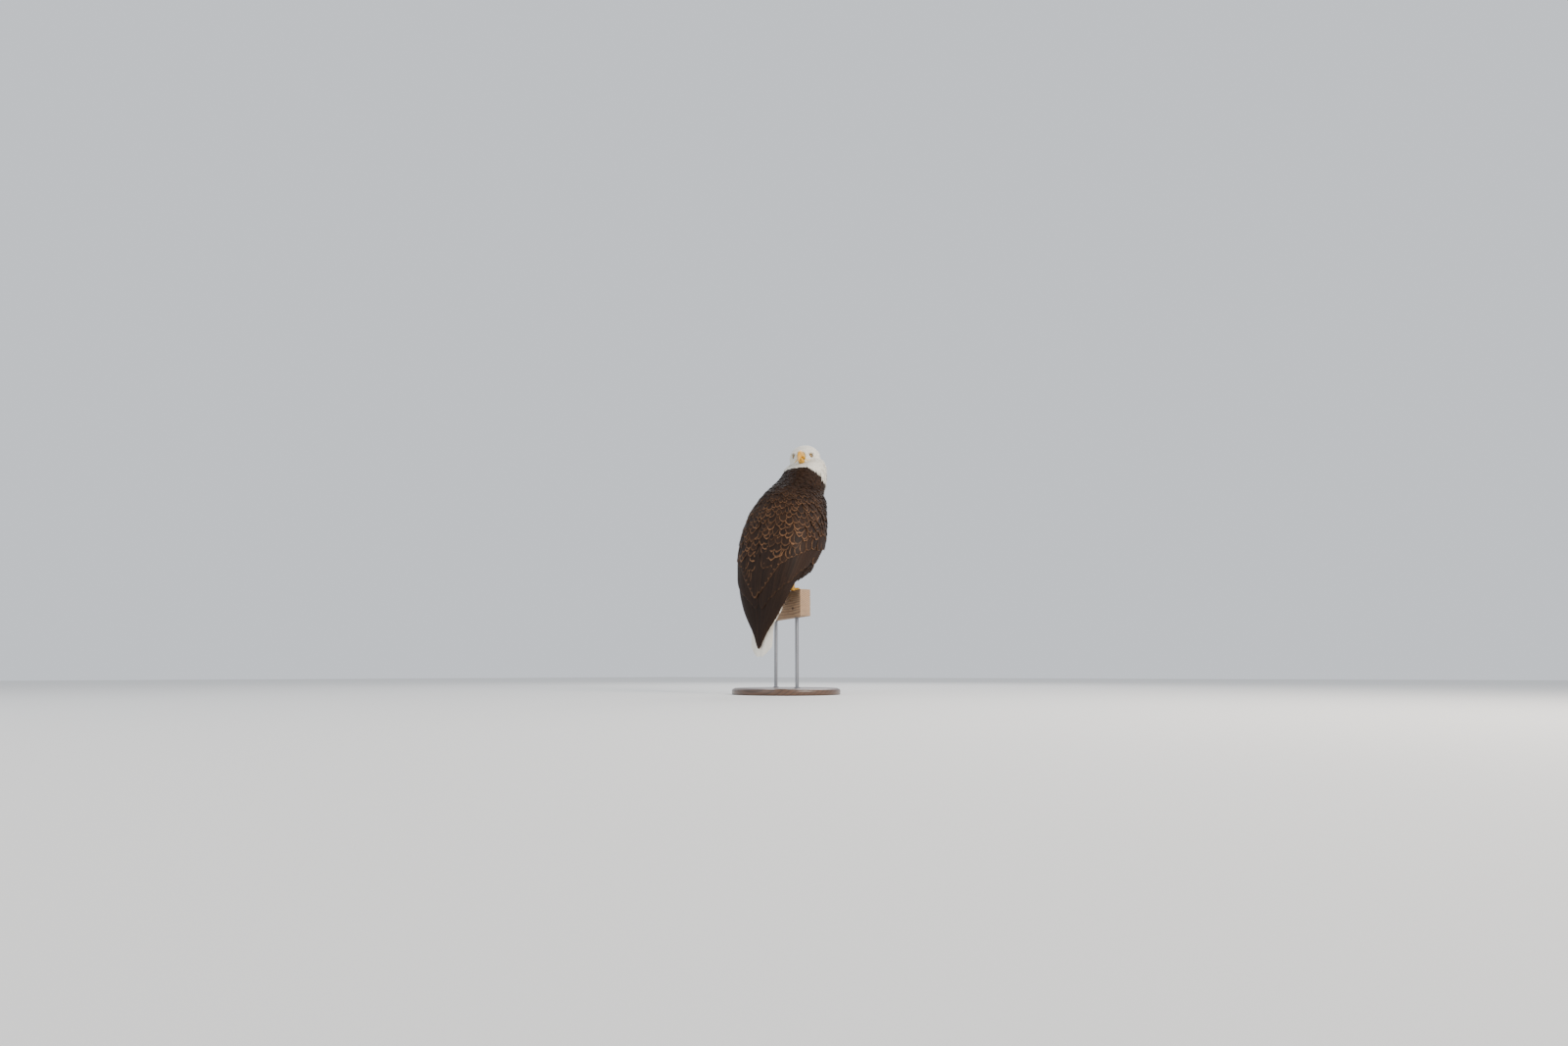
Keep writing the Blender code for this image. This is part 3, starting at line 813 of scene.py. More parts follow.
def feather_piece(name, roots, kind, slot, unwrap):
    """One mesh of all the feathers that grow from these roots."""
    ground = new_object("ground", body_outline().mesh)
    rough = new_object(name + "_roots", roots.mesh(name + "_roots", unwrap))
    coat = rough.modifiers.new("coat", "NODES")
    coat.node_group = coat_tree()
    material = plumage("small" if kind == "small" else "contour")
    values = {"Surface": ground, "Vanes": vane_library(kind), "Material": material,
              "Patch": OFBAKE_PATCH}
    for socket in coat.node_group.interface.items_tree:
        if socket.in_out == "INPUT" and socket.name in values:
            coat[socket.identifier] = values[socket.name]
    mesh = evaluated_mesh(rough, name)
    bpy.data.objects.remove(ground)
    for key in ("spin", "size", "lift", "up", "shape", "root_uv"):
        layer = mesh.attributes.get(key)
        if layer:
            mesh.attributes.remove(layer)
    drop_stretched(mesh, 1.15 * max(row[6] for row in roots.rows))
    if len(mesh.polygons) == 0:
        raise RuntimeError(f"{name} came out empty")
    return settle(new_object(name, mesh), slot)


def unwrap_about(centre):
    def unwrap(point):
        away = point - centre
        return math.atan2(away.x, -away.y) / tau, point.z
    return unwrap


def unwrap_body(point):
    """The body's own unwrap: the angle about its axis and the height."""
    return unwrap_about(body_axis(point.z - PERCH_TOP))(point)


def unwrap_head(point):
    local = TO_HEAD @ point
    return math.atan2(local.x, local.z) / tau, local.y


# ---------------------------------------------------------------- round forms and long feathers


def ring_faces(a, b, sides):
    """Faces between two rings of points, of which the first ones are a and b."""
    return [(a + i, a + (i + 1) % sides, b + (i + 1) % sides, b + i) for i in range(sides)]


def directions(line):
    """The way that a line of points runs at each of them."""
    last = len(line) - 1
    return [(line[min(k + 1, last)] - line[max(k - 1, 0)]).normalized() for k in range(last + 1)]


def sweep(path, radius, sides, cap=0.5):
    """Points and faces of a closed tube. radius(share, way out) is its reach from the path."""
    count = len(path)
    tangents = directions(path)
    side = tangents[0].orthogonal().normalized()
    points, faces = [], []
    for k, (place, tangent) in enumerate(zip(path, tangents)):
        side = (side - tangent * side.dot(tangent)).normalized()
        up = tangent.cross(side)
        for i in range(sides):
            out = side * cos(tau * i / sides) + up * sin(tau * i / sides)
            points.append(place + out * radius(k / (count - 1), out))
        if k:
            faces += ring_faces((k - 1) * sides, k * sides, sides)
    for end, order in ((0, -1), (count - 1, 1)):
        reach = radius(end / (count - 1), side) * cap
        points.append(path[end] + tangents[end] * reach * order)
        ring = [end * sides + i for i in range(sides)]
        faces += [(*(a, b)[::order], len(points) - 1) for a, b in zip(ring, ring[1:] + ring[:1])]
    return points, faces


def lathe(profile, sides):
    """Points and faces of a turned form. The profile is (reach, level), with its ends on the axis."""
    points, faces = [Vector((0, 0, profile[0][1]))], []
    for k, (reach, level) in enumerate(profile[1:-1]):
        start = len(points)
        points += [Vector((reach * cos(tau * i / sides), reach * sin(tau * i / sides), level))
                   for i in range(sides)]
        faces += ring_faces(start - sides, start, sides) if k else []
    points.append(Vector((0, 0, profile[-1][1])))
    for ring, pole, order in ((1, 0, -1), (len(points) - 1 - sides, len(points) - 1, 1)):
        faces += [(*(ring + i, ring + (i + 1) % sides)[::order], pole) for i in range(sides)]
    return points, faces


class Parts:
    """Closed forms gathered into one mesh, each with one mark for its points."""

    def __init__(self):
        self.points, self.faces, self.marks = [], [], []

    def add(self, form, mark=0.0):
        points, faces = form
        start = len(self.points)
        self.points += points
        self.faces += [[start + v for v in face] for face in faces]
        self.marks += [mark] * len(points)


def smooth_rows(rows, count):
    """Rows of numbers on Catmull-Rom curves through the given ones."""
    rows = np.array(rows, dtype=float)
    steps = len(rows) - 1
    found = []
    for i in range(count):
        at = i * steps / (count - 1)
        k = min(int(at), steps - 1)
        t = at - k
        a, b, c, d = rows[np.clip(range(k - 1, k + 3), 0, steps)]
        found.append(0.5 * (2 * b + (c - a) * t + (2 * a - 5 * b + 4 * c - d) * t * t
                            + (3 * b - a - 3 * c + d) * t ** 3))
    return found


def smooth_path(places, count):
    return [Vector(row) for row in smooth_rows(places, count)]


class Vanes:
    """Long feathers gathered into one mesh, each with its own marks and its own patch to bake."""

    across = 6  # faces over a feather's width

    def __init__(self, columns, rows, seed):
        self.points, self.faces, self.marks = [], [], []
        self.looks, self.patches = [], []
        self.columns, self.rows, self.count = columns, rows, 0
        self.random = np.random.default_rng(seed)

    def add(self, line, outs, width, profile, shaft_at, fringe, tone, white=0.0, thick=0.0007):
        """A vane along line, with outs the way its outer face looks at each point."""
        count, start, across, wide = len(line), len(self.points), self.across, self.across + 1
        camber = 0.0016
        ragged = self.random.uniform(0.0, 1.0, (count, 2))
        column, row = self.count % self.columns, self.count // self.columns
        self.count += 1
        tangents = directions(line)
        for back in (0, 1):
            for k, (place, tangent) in enumerate(zip(line, tangents)):
                t = k / (count - 1)
                out = (outs[k] - tangent * outs[k].dot(tangent)).normalized()
                over = tangent.cross(out)
                end = (k == count - 1) - (k == 0)
                for i in range(wide):
                    u = -1 + 2 * i / across
                    dome = 1 - u * u
                    reach = 0.5 * width * profile(t) * (u - shaft_at * dome)
                    if abs(u) == 1 and t > 0.3:
                        nick = ragged[k][0 if u < 0 else 1]
                        reach *= 1 - (0.10 if nick > 0.86 else 0.015 * nick)
                    rise = camber * (1 - abs(u) ** 1.7)
                    shaft = 0.0005 * max(0, 1 - abs(u) * across) * (1 - 0.6 * t)
                    rise += -thick * (1 - abs(u) ** 4) if back else shaft
                    slide = end * 0.10 * width * profile(t) * dome
                    self.points.append(place + over * reach + out * rise + tangent * slide)
                    along = t + end * 0.02 * dome
                    self.marks.append((u, along, 0.0))
                    self.looks.append((tone, white, fringe))
                    self.patches.append((
                        (column + 0.04 + 0.44 * (u + 1) / 2 + 0.48 * back) / self.columns,
                        (row + 0.04 + 0.90 * (along + 0.02) / 1.04) / self.rows,
                    ))
        top, under = start, start + count * wide
        for k in range(count - 1):
            for i in range(across):
                a = k * wide + i
                quad = (a, a + 1, a + 1 + wide, a + wide)
                self.faces += [[top + v for v in quad], [under + v for v in quad[::-1]]]
            for i, order in ((0, 1), (across, -1)):
                a, b = k * wide + i, (k + 1) * wide + i
                self.faces.append((top + a, top + b, under + b, under + a)[::order])
        for a, order in ((0, 1), ((count - 1) * wide, -1)):
            for i in range(a, a + across):
                self.faces.append((top + i, under + i, under + i + 1, top + i + 1)[::order])

    def piece(self, name, slot):
        tone, white, fringe = zip(*self.looks)
        piece = solid(name, self.points, self.faces, plumage("long"), slot, sharp=60, tone=tone,
                      white=white, fringe=fringe)
        mesh = piece.data
        store(mesh, "vane", "FLOAT_VECTOR", self.marks)
        corners = read(mesh.loops, "vertex_index", 1, int)[:, 0]
        unwrapped = np.array(self.patches)[corners]
        mesh.uv_layers.new(name="OFBake").data.foreach_set("uv", unwrapped.ravel())
        return piece


def long_profile(tip_start, root=0.45, point=0.12):
    """Width of a long feather along its length: a narrow root, straight sides and a rounded tip."""
    def profile(t):
        grown = min(1.0, root + (1 - root) * t / 0.22)
        past = max(t - tip_start, 0) / (1 - tip_start)
        return grown * max(max(1 - past ** 2.2, 0) ** 0.5, point)
    return profile


# ---------------------------------------------------------------- sizes and colours


def number(name, description, default, low, high, unit="LENGTH"):
    return FloatProperty(
        name=name, description=description, default=default, min=low, max=high, unit=unit)


def angle_of(name, description, degrees):
    return FloatProperty(
        name=name, description=description, default=radians(degrees), subtype="ANGLE", unit="ROTATION")


def count_of(name, description, default, low, high):
    return IntProperty(name=name, description=description, default=default, min=low, max=high)


def tint(name, description, default):
    return FloatVectorProperty(
        name=name, description=description, default=default, subtype="COLOR", size=3, min=0, max=1)


class EagleSizes(bpy.types.PropertyGroup):
    """Sizes that a user might change."""

    head_coat: number("Head coat", "Depth of the small feathers over the skin of the head",
                      0.0026, 0.001, 0.01)
    body_coat: number("Body coat", "Depth of the feathers over the skin of neck and body",
                      0.0058, 0.002, 0.02)
    hackle_length: number("Hackle length", "Length of the white feathers on the neck",
                          0.040, 0.02, 0.07)
    scapular_width: number("Scapular width", "Width of the largest feathers on the back",
                           0.033, 0.015, 0.05)
    eye_radius: number("Eye radius", "Radius of the eyeball", 0.0112, 0.008, 0.014)
    secondaries: count_of("Secondaries", "Long feathers in the middle of each wing", 13, 6, 20)
    primaries: count_of("Primaries", "Long feathers at the tip of each wing", 8, 4, 12)
    tail_feathers: count_of("Tail feathers", "Feathers of the tail", 12, 8, 16)


class EagleTints(bpy.types.PropertyGroup):
    """Colours that a user might change."""

    dark_brown: tint("Dark brown", "Darkest plumage of the body", (0.0068, 0.0034, 0.0022))
    warm_brown: tint("Warm brown", "Lighter plumage of the body", (0.033, 0.0148, 0.0070))
    fringe: tint("Feather edge", "Pale edges of the body's feathers", (0.190, 0.092, 0.042))
    shaft: tint("Feather shaft", "Shafts of the brown feathers", (0.046, 0.024, 0.014))
    white: tint("White", "White plumage of head, neck and tail", (0.76, 0.72, 0.635))
    # white_shade also serves as painted shade at the white feathers' roots and in their splits
    white_shade: tint("White shade", "Roots and depths of the white plumage", (0.47, 0.41, 0.32))
    bill: tint("Bill", "Horn of the bill", (0.68, 0.325, 0.006))
    cere: tint("Cere", "Soft skin at the bill's base", (0.70, 0.41, 0.012))
    foot: tint("Foot", "Scaly skin of the feet", (0.66, 0.33, 0.010))
    iris: tint("Iris", "Iris of the eye", (0.58, 0.33, 0.065))
    claw: tint("Claw", "Horn of the claws", (0.018, 0.016, 0.015))
    timber: tint("Timber", "Weathered face of the rail", (0.37, 0.225, 0.125))
    timber_line: tint("Timber lines", "Dark grain of the rail", (0.11, 0.060, 0.034))
    stand_wood: tint("Stand wood", "Varnished wood of the stand", (0.085, 0.042, 0.022))
    stand_steel: tint("Stand steel", "Steel of the stand's rods", (0.20, 0.20, 0.21))


class EagleStage(bpy.types.PropertyGroup):
    """The floor, the lights and the camera."""

    floor: tint("Floor", "Plain pale floor", (0.78, 0.77, 0.75))
    camera_distance: number("Camera distance", "Level distance from the camera to the bird",
                            2.6, 1.0, 6.0)
    camera_height: number("Camera height", "Height of the camera above the floor", 0.07, 0.02, 2.0)
    camera_side: angle_of("Camera side", "Where the camera stands; 0 is in front of the bird", 215)
    camera_pitch: angle_of("Camera pitch", "How far the camera looks up", 11.31)
    lens: number("Lens", "Focal length on a sensor 36 mm wide, in millimetres", 17.26, 8, 200, "NONE")
    key_power: number("Key light", "Power of the large soft light", 95.0, 0, 1000, "POWER")


# ---------------------------------------------------------------- skin and plumage


def round_the_eyes(local):
    """The skin pressed in round each eyeball, in the head's frame."""
    for eye, gaze in eye_lines():
        along, off = off_line(local, eye, gaze)
        lid = 0.0078 + 0.0016 * smooth_step(0.006, 0.0125, off)
        if off < 0.0125 and along > lid:
            local = local - gaze * (along - lid) * smooth_step(0.0125, 0.0095, off)
    return local


class EAGLE_OT_skin(bpy.types.Operator):
    """Makes one skin for head, neck, body, legs and wings, inside their outline by the coat"""

    bl_idname = "eagle.skin"
    bl_label = "Skin"

    def execute(self, context):
        sizes = context.scene.eagle_sizes
        outline = body_outline()
        inner = outline.mesh.copy()
        inner.name = "skin"
        points, whites = outline.points.copy(), []
        for k, (place, normal) in enumerate(zip(outline.points, outline.normals)):
            place, normal = Vector(place), Vector(normal)
            near_head = smooth_step(0.085, 0.060, (TO_HEAD @ place).length)
            depth = blend(sizes.body_coat, sizes.head_coat, near_head)
            hit = outline.tree.ray_cast(place - normal * 0.0004, -normal, 0.05)
            if hit[0]:
                depth = min(depth, 0.33 * hit[3])
            inward = place - normal * depth
            if near_head > 0:
                inward = HEAD_FRAME @ round_the_eyes(TO_HEAD @ inward)
            points[k] = inward
            height = place.z - PERCH_TOP
            whites.append(float(height > 0.3 and height > white_border(place)))
        inner.vertices.foreach_set("co", points.ravel())
        inner.update()
        inner.attributes.remove(inner.attributes["outwards"])
        store(inner, "white", "FLOAT", whites)
        material = self.finish(context.scene.eagle_tints)
        settle(new_object("skin", inner, material), "dark_plumage", *FLESH)
        return {"FINISHED"}

    def finish(self, tints):
        n = Finish("skin", 0.75)
        mottle = n.noise(n.place, 90.0, 4.0, 0.6)
        brown = n.mix(mottle, tints.dark_brown, tints.warm_brown)
        white = n.mix(mottle, tints.white_shade, tints.white)
        streaks = n.noise(n.place, 260.0, 2.0, 0.5, (1.0, 1.0, 0.18))
        return n.done(n.mix(n.attribute("white"), brown, white), None, streaks, 0.5, 0.0015)


BILL_BASE = Vector((0, -0.046, -0.008))  # in the head's frame
GAPE = (  # the soft yellow edge of the mouth, back from the bill to below the eye
    (0.0125, -0.0470, -0.0162), (0.0172, -0.0395, -0.0180), (0.0228, -0.0315, -0.0202),
    (0.0275, -0.0255, -0.0222), (0.0310, -0.0210, -0.0236),
)
HEAD_FEATHERS = np.array((  # distance from the bill's base, length and width of the feathers there
    (0.0, 0.0034, 0.0019), (0.015, 0.0048, 0.0024), (0.030, 0.0070, 0.0032),
    (0.050, 0.0100, 0.0041), (0.070, 0.0140, 0.0052), (0.090, 0.0200, 0.0066),
    (0.110, 0.027, 0.0080), (0.130, 0.034, 0.0092), (0.160, 0.040, 0.0102),
)).T
EYE_SHADE_AND_LORE_LINES = (  # painted shade as a dark line behind the eye, and a faint grey line before it over the lore: start, end, strength
    ((0.040, -0.017, 0.001), (0.056, 0.014, -0.010), 0.40),
    ((0.026, -0.036, 0.000), (0.016, -0.046, -0.004), 0.16),
)
BROW = (  # from its front end: ahead, above and outwards from the eye's middle
    (0.0150, -0.0004, 0.0074), (0.0085, 0.0045, 0.0108), (0.0010, 0.0069, 0.0120),
    (-0.0070, 0.0080, 0.0102), (-0.0145, 0.0072, 0.0054),
)


class EAGLE_OT_white_coat(bpy.types.Operator):
    """Covers head and neck in white: tiny feathers round the bill, long pointed ones on the neck"""

    bl_idname = "eagle.white_coat"
    bl_label = "White feathers of head and neck"

    def execute(self, context):
        longest = context.scene.eagle_sizes.hackle_length / HEAD_FEATHERS[1, -1]
        edge = smooth_path(GAPE, 24)

        def sizes_at(place, local):
            away = (local - BILL_BASE).length - 0.22 * max(local.z, 0)
            hanging = float(np.interp(
                PERCH_TOP - place.z, (-0.478, -0.445, -0.42), (0.0, 0.024, 0.034)))
            length, width = (float(np.interp(away, HEAD_FEATHERS[0], row)) for row in HEAD_FEATHERS[1:])
            return max(length, hanging) * longest, max(width, hanging * 0.24)

        def from_eye(local):
            found = [off_line(local, *line) for line in eye_lines()]
            return min([off for along, off in found if along > 0], default=1.0)

        def spacing(place):
            height = place.z - PERCH_TOP
            if height < 0.37:
                return None
            local = TO_HEAD @ place
            length, width = sizes_at(place, local)
            bill = (local.x / 0.0122) ** 2 + ((local.z + 0.0085) / 0.0180) ** 2 < 1
            if height - 0.80 * length < white_border(place) or bill and local.y < -0.030:
                return None
            here = mirrored(local, math.copysign(1, local.x))
            near_gape = min((here - spot).length for spot in edge) < 0.0015
            return None if from_eye(local) < 0.0080 or near_gape else 0.47 * width

        small, long = Roots(11), Roots(23)
        for place, out in scatter(body_outline(), spacing, 170000, PERCH_TOP + 0.37, 5):
            local = TO_HEAD @ place
            length, width = sizes_at(place, local)
            length *= 0.5 + 0.5 * smooth_step(0.008, 0.022, from_eye(local))
            sink = smooth_step(0.040, -0.035, local.z) * 0.75 + smooth_step(0.01, 0.07, local.y)
            sink = max(min(sink, 1.0), smooth_step(0.475, 0.455, place.z - PERCH_TOP))
            spread = (local - BILL_BASE).normalized()
            back = Vector((0.55 * spread.x, 0.35 + 0.65 * abs(spread.y), 0.55 * spread.z))
            lie = (HEAD_TURN @ back).normalized().lerp(DOWN, sink * 0.92)
            if length < 0.0165:
                # these feathers are less white along the painted shade line behind the eye and the faint
                # grey line over the lore
                draw = small.random
                small.add(place, out, lie, width * 1.05, length, -0.0009,
                          0.0001 + 0.0003 * draw.uniform(), white=1.0 - self.eye_stripe(local),
                          shape=draw.integers(0, 2), stray=9)
            else:
                draw = long.random
                loose = draw.uniform() ** 5
                long.add(place, out, lie, width * 1.12, length, -0.0026,
                         0.0003 + 0.0006 * draw.uniform() + 0.0040 * loose,
                         hug=0.96 - 0.25 * loose, white=1.0, shape=draw.integers(0, 3), stray=7)
        self.brow_feathers(small)
        feather_piece("head_feathers", small, "small", "white_plumage", unwrap_head)
        feather_piece("neck_hackles", long, "hackle", "white_plumage", unwrap_body)
        return {"FINISHED"}

    def eye_stripe(self, local):
        """How much this place is darkened: by the painted shade behind the eye, and by the faint grey line
        before it.
        """
        here = mirrored(local, math.copysign(1, local.x))
        most = 0.0
        for start, end, strength in EYE_SHADE_AND_LORE_LINES:
            line = Vector(end) - Vector(start)
            share = clamp((here - Vector(start)).dot(line) / line.length_squared)
            off = (here - Vector(start) - line * share).length
            most = max(most, strength * (1 - 0.5 * share) * smooth_step(0.0042, 0.0012, off))
        return most

    def brow_feathers(self, roots):
        """Short feathers that lie back over the bony brow above each eye."""
        for eye, gaze in eye_lines():
            for k in range(5):
                for i in range(17):
                    t = (i + 0.5 * (k % 2)) / 17
                    here, ahead = brow_line(eye, gaze, t), brow_line(eye, gaze, t + 0.06)
                    lie = (ahead - here).normalized() + Vector((0, 0.3, 0.15 * k))
                    out = (gaze * (0.9 - 0.25 * k) + UP * (0.3 + 0.3 * k)).normalized()
                    roots.add(HEAD_FRAME @ (here + out * 0.0019), HEAD_TURN @ out, HEAD_TURN @ lie,
                              0.0032, 0.0066, -0.0003, 0.0003, hug=0.0, white=1.0, shape=k % 2, stray=9)


def eye_axes(gaze):
    """Directions across and up over the eye, and across towards the bill."""
    across = gaze.cross(UP).normalized()
    return across, across.cross(gaze), across * (1 if across.y < 0 else -1)


def brow_line(eye, gaze, t):
    """A place on the edge of the brow, from its front end at 0 to its back end at 1."""
    _, up, front = eye_axes(gaze)
    line = smooth_path([eye + front * a + up * b + gaze * c for a, b, c in BROW], 29)
    at = clamp(t) * 27.99
    return line[int(at)].lerp(line[int(at) + 1], at % 1)


class EAGLE_OT_breast_coat(bpy.types.Operator):
    """Covers breast, belly and vent with brown feathers"""

    bl_idname = "eagle.breast_coat"
    bl_label = "Breast feathers"

    def execute(self, context):
        outline, trunk = body_outline(), made["trunk"]
        roots = Roots(37)
        draw = roots.random

        def share_at(height):
            return smooth_step(0.43, 0.2, height)

        rows = rows_down(0.436, -0.04, lambda height: blend(0.0088, 0.0115, share_at(height)))
        for row, height in rows:
            share = share_at(height)
            middle = body_axis(height)
            front = wing_front(height)
            count = int(tau * 0.12 / blend(0.0095, 0.0125, share))
            for angle in ring_angles(count, row, draw, 0.25):
                if front + 7 < angle < 173 - front or angle > 367 + front and front < 0:
                    continue
                middle.z = PERCH_TOP + height + draw.uniform(-0.002, 0.002)
                place, out = brown_root(middle, angle, "trunk", "neck")
                if place is None:
                    continue
                length = blend(0.028, 0.042, share)
                lie = Vector((0, 0.25 * (height < 0.12), -1)) + around(angle) * 0.05
                roots.add(place, out, lie, length * 0.42, length, ROOT_DEPTH,
                          0.0002 + draw.uniform(0, 0.0010), fringe=0.12 + 0.2 * draw.uniform(),
                          shape=draw.integers(0, 3), stray=9)
        for row, height in rows_down(0.11, -0.035, lambda height: 0.011, row + 1):
            middle = Vector((0, AXIS_START + 0.25 * (0.05 - height), PERCH_TOP + height))
            for angle in ring_angles(26, row):
                out_way = around(angle)
                place, out = trunk.inwards(middle, out_way, 0.2)
                if place is None or outline.nearest(place)[2] > 0.002:
                    continue
                seen, _ = outline.inwards(middle, out_way)
                if seen is None or (seen - place).length >= 0.008:
                    roots.add(place, out, Vector((0, 0.3, -1)), 0.016, 0.036, -0.004, 0.0008,
                              fringe=0.2, shape=draw.integers(0, 3))
        feather_piece("breast_feathers", roots, "body", "dark_plumage", unwrap_body)
        return {"FINISHED"}


class EAGLE_OT_back_coat(bpy.types.Operator):
    """Covers the back and the folded wings with pale-edged feathers, larger further down"""

    bl_idname = "eagle.back_coat"
    bl_label = "Back and wing coverts"

    def execute(self, context):
        body_outline()
        halves = {way: Roots(41 + k) for k, (_, way) in enumerate(SIDES)}
        draw = halves[1].random
        widest = context.scene.eagle_sizes.scapular_width

        def width_at(height):
            return widest * blend(0.40, 1.0, smooth_step(0.45, 0.17, height))

        for row, height in rows_down(0.475, 0.082, lambda height: width_at(height) * 0.54):
            share = smooth_step(0.45, 0.17, height)
            wide = width_at(height)
            middle = body_axis(height)
            front = wing_front(height)
            for angle in ring_angles(2 * int(pi * 0.128 / (wide * 0.62)), row, draw, 0.22):
                angle -= 360 * (angle > 270)
                if angle < front - 5 or angle > 185 - front:
                    continue
                side = 1 if angle < 90 else -1
                turned = angle if side > 0 else 180 - angle
                level = height + wide * draw.uniform(-0.13, 0.13)
                if level < blend(0.212, 0.138, smooth_step(0, 85, turned)):
                    continue
                middle.z = PERCH_TOP + level
                place, out = brown_root(middle, angle, "trunk", "neck", "wing_left", "wing_right")
                if place is None:
                    continue
                fine = wide * blend(1.0, 0.62, smooth_step(55, -30, turned)) * draw.uniform(0.86, 1.12)
                swing = blend(0.10, 0.42, share) * clamp((88 - turned) / 70)
                lift = draw.uniform(-0.0001, 0.0009) + 0.0012 * smooth_step(0.20, 0.13, level)
                lit = 0.10 + 0.90 * smooth_step(0.41, 0.29, height)
                halves[side].add(
                    place, out, DOWN + around(angle + 90 * side) * swing, fine,
                    fine * blend(1.9, 1.75, share), ROOT_DEPTH, lift,
                    fringe=lit * draw.uniform(0.25, 1.0), shape=(0, 2, 0, 2, 1)[draw.integers(0, 5)],
                    stray=7,
                )
        for label, way in SIDES:
            feather_piece(f"coverts_{label}", halves[way], "body", "dark_plumage", unwrap_body)
        return {"FINISHED"}


class EAGLE_OT_leg_coat(bpy.types.Operator):
    """Covers the thighs with pointed brown feathers that hang over the top of the shanks"""

    bl_idname = "eagle.leg_coat"
    bl_label = "Leg feathers"

    def execute(self, context):
        outline = body_outline()
        for label, way in SIDES:
            roots = Roots(53 + way)
            draw = roots.random
            low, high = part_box(f"thigh_{label}")
            thigh = made[f"thigh_{label}"]
            near_knee = np.abs(thigh.points[:, 2] - low.z - 0.006) < 0.008
            knee = Vector(thigh.points[near_knee].mean(axis=0))
            hip = Vector(((low.x + high.x) / 2, (low.y + high.y) / 2, high.z))
            for row, height in rows_down(high.z - 0.004, low.z + 0.001, lambda height: 0.0092):
                share = (height - low.z) / (high.z - low.z)
                middle = knee.lerp(hip, min(share * 1.6, 1))
                middle.z = height
                length = blend(0.021, 0.032, smooth_step(0, 0.6, share))
                count = int(tau * blend(0.024, 0.050, smooth_step(0, 0.5, share)) / 0.0078)
                for angle in ring_angles(count, row, draw, 0.2):
                    out_way = around(angle)
                    place, out = thigh.inwards(middle, out_way, 0.10)
                    if place is None or outline.nearest(place)[2] > 0.0025:
                        continue
                    lie = Vector((0, 0.06, -1)) - out_way * 0.1
                    roots.add(place, out, lie, length * 0.36, length, -0.0042,
                              0.0008 + draw.uniform(0, 0.0012),
                              hug=blend(0.25, 0.9, smooth_step(0.0, 0.35, share)), fringe=0.2,
                              shape=draw.integers(0, 2))
            feather_piece(f"leg_feathers_{label}", roots, "hackle", "dark_plumage",
                          unwrap_about((low + high) / 2))
        return {"FINISHED"}


class EAGLE_OT_flight_feathers(bpy.types.Operator):
    """Lays the primaries, secondaries, tertials and greater coverts of the folded wings"""

    bl_idname = "eagle.flight_feathers"
    bl_label = "Flight feathers"

    def execute(self, context):
        for label, way in SIDES:
            wing = Vanes(8, 9, 61 + way)
            self.lay_wing(wing, way, context.scene.eagle_sizes)
            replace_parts(wing.piece(f"flight_feathers_{label}", "dark_plumage"), f"wingtip_{label}")
        return {"FINISHED"}

    def lay_wing(self, wing, way, sizes):
        """Places on the wing are (angle, height), and lifts are from its outer face."""
        draw = wing.random
        above = 0.0016 if way < 0 else 0.0  # the right wing closes over the left one

        def lay(root, tip, count, low, high, width, tip_start, fringe, tone, inside=False):
            lift = above * smooth_step(70, 88, tip[0])
            line, outs = wing_line(way, root, tip, count, low + lift, high + lift, inside)
            wing.add(line, outs, width, long_profile(tip_start), -0.22 * way, fringe, tone)

        def shares(total):
            return enumerate(np.linspace(0, 1, total))

        for k, share in shares(sizes.primaries):
            tip = (blend(58, 87, share), blend(-0.088, -0.196, share ** 0.62))
            root = (blend(2, 88, share), blend(0.12, 0.03, share))
            lay(root, tip, 22, -0.0068 + 0.0004 * k, -0.0050 + 0.0004 * k, blend(0.030, 0.025, share),
                0.80, 0.10, 0.1 + 0.3 * draw.uniform())
        for k, share in shares(sizes.secondaries):
            level = blend(0.092, -0.060, share ** 0.9) + draw.uniform(-0.004, 0.004)
            edge = blend(wing_row(level)[3] + 3, 86, max(share - 0.40, 0) / 0.60)
            root = (edge - blend(22, 5, share), level + blend(0.13, 0.20, share))
            lay(root, (edge, level - 0.004), 18, -0.0048 + 0.0002 * k, -0.0030 + 0.00015 * k,
                blend(0.026, 0.030, share), 0.82,
                0.26 * draw.uniform(0.6, 1.3) * (1 - 0.8 * share), draw.uniform(0.1, 0.8))
        for k, share in shares(7):  # tertials
            tip = (blend(70, 93 if way < 0 else 88, share), blend(0.060, -0.030, share))
            root = (tip[0] - blend(6, 2, share), tip[1] + blend(0.10, 0.15, share))
            lay(root, tip, 16, -0.0058, 0.0010 + 0.0001 * k, 0.032, 0.74,
                draw.uniform(0.2, 0.45), draw.uniform(0.2, 0.8))
        for _, share in shares(16):  # greater coverts
            level = blend(0.146, 0.066, smooth_step(0, 1, share)) + draw.uniform(-0.005, 0.005)
            edge = blend(wing_row(level)[3] + 2, 85, share)
            lay((edge - blend(9, 2, share), level + 0.078), (edge, level), 12,
                -0.0060 - 0.0020 * share, 0.0002, 0.029, 0.70,
                draw.uniform(0.30, 0.75), draw.uniform(0.2, 1.0))
        for _, share in shares(9):  # the wing's inner face
            tip = (blend(35, 88, share), blend(0.0, -0.180, share ** 0.7))
            root = (blend(0, 88, share), blend(0.13, 0.06, share))
            lay(root, tip, 14, -0.003, -0.001, 0.030, 0.82, 0.1, draw.uniform(0.4, 0.8), True)


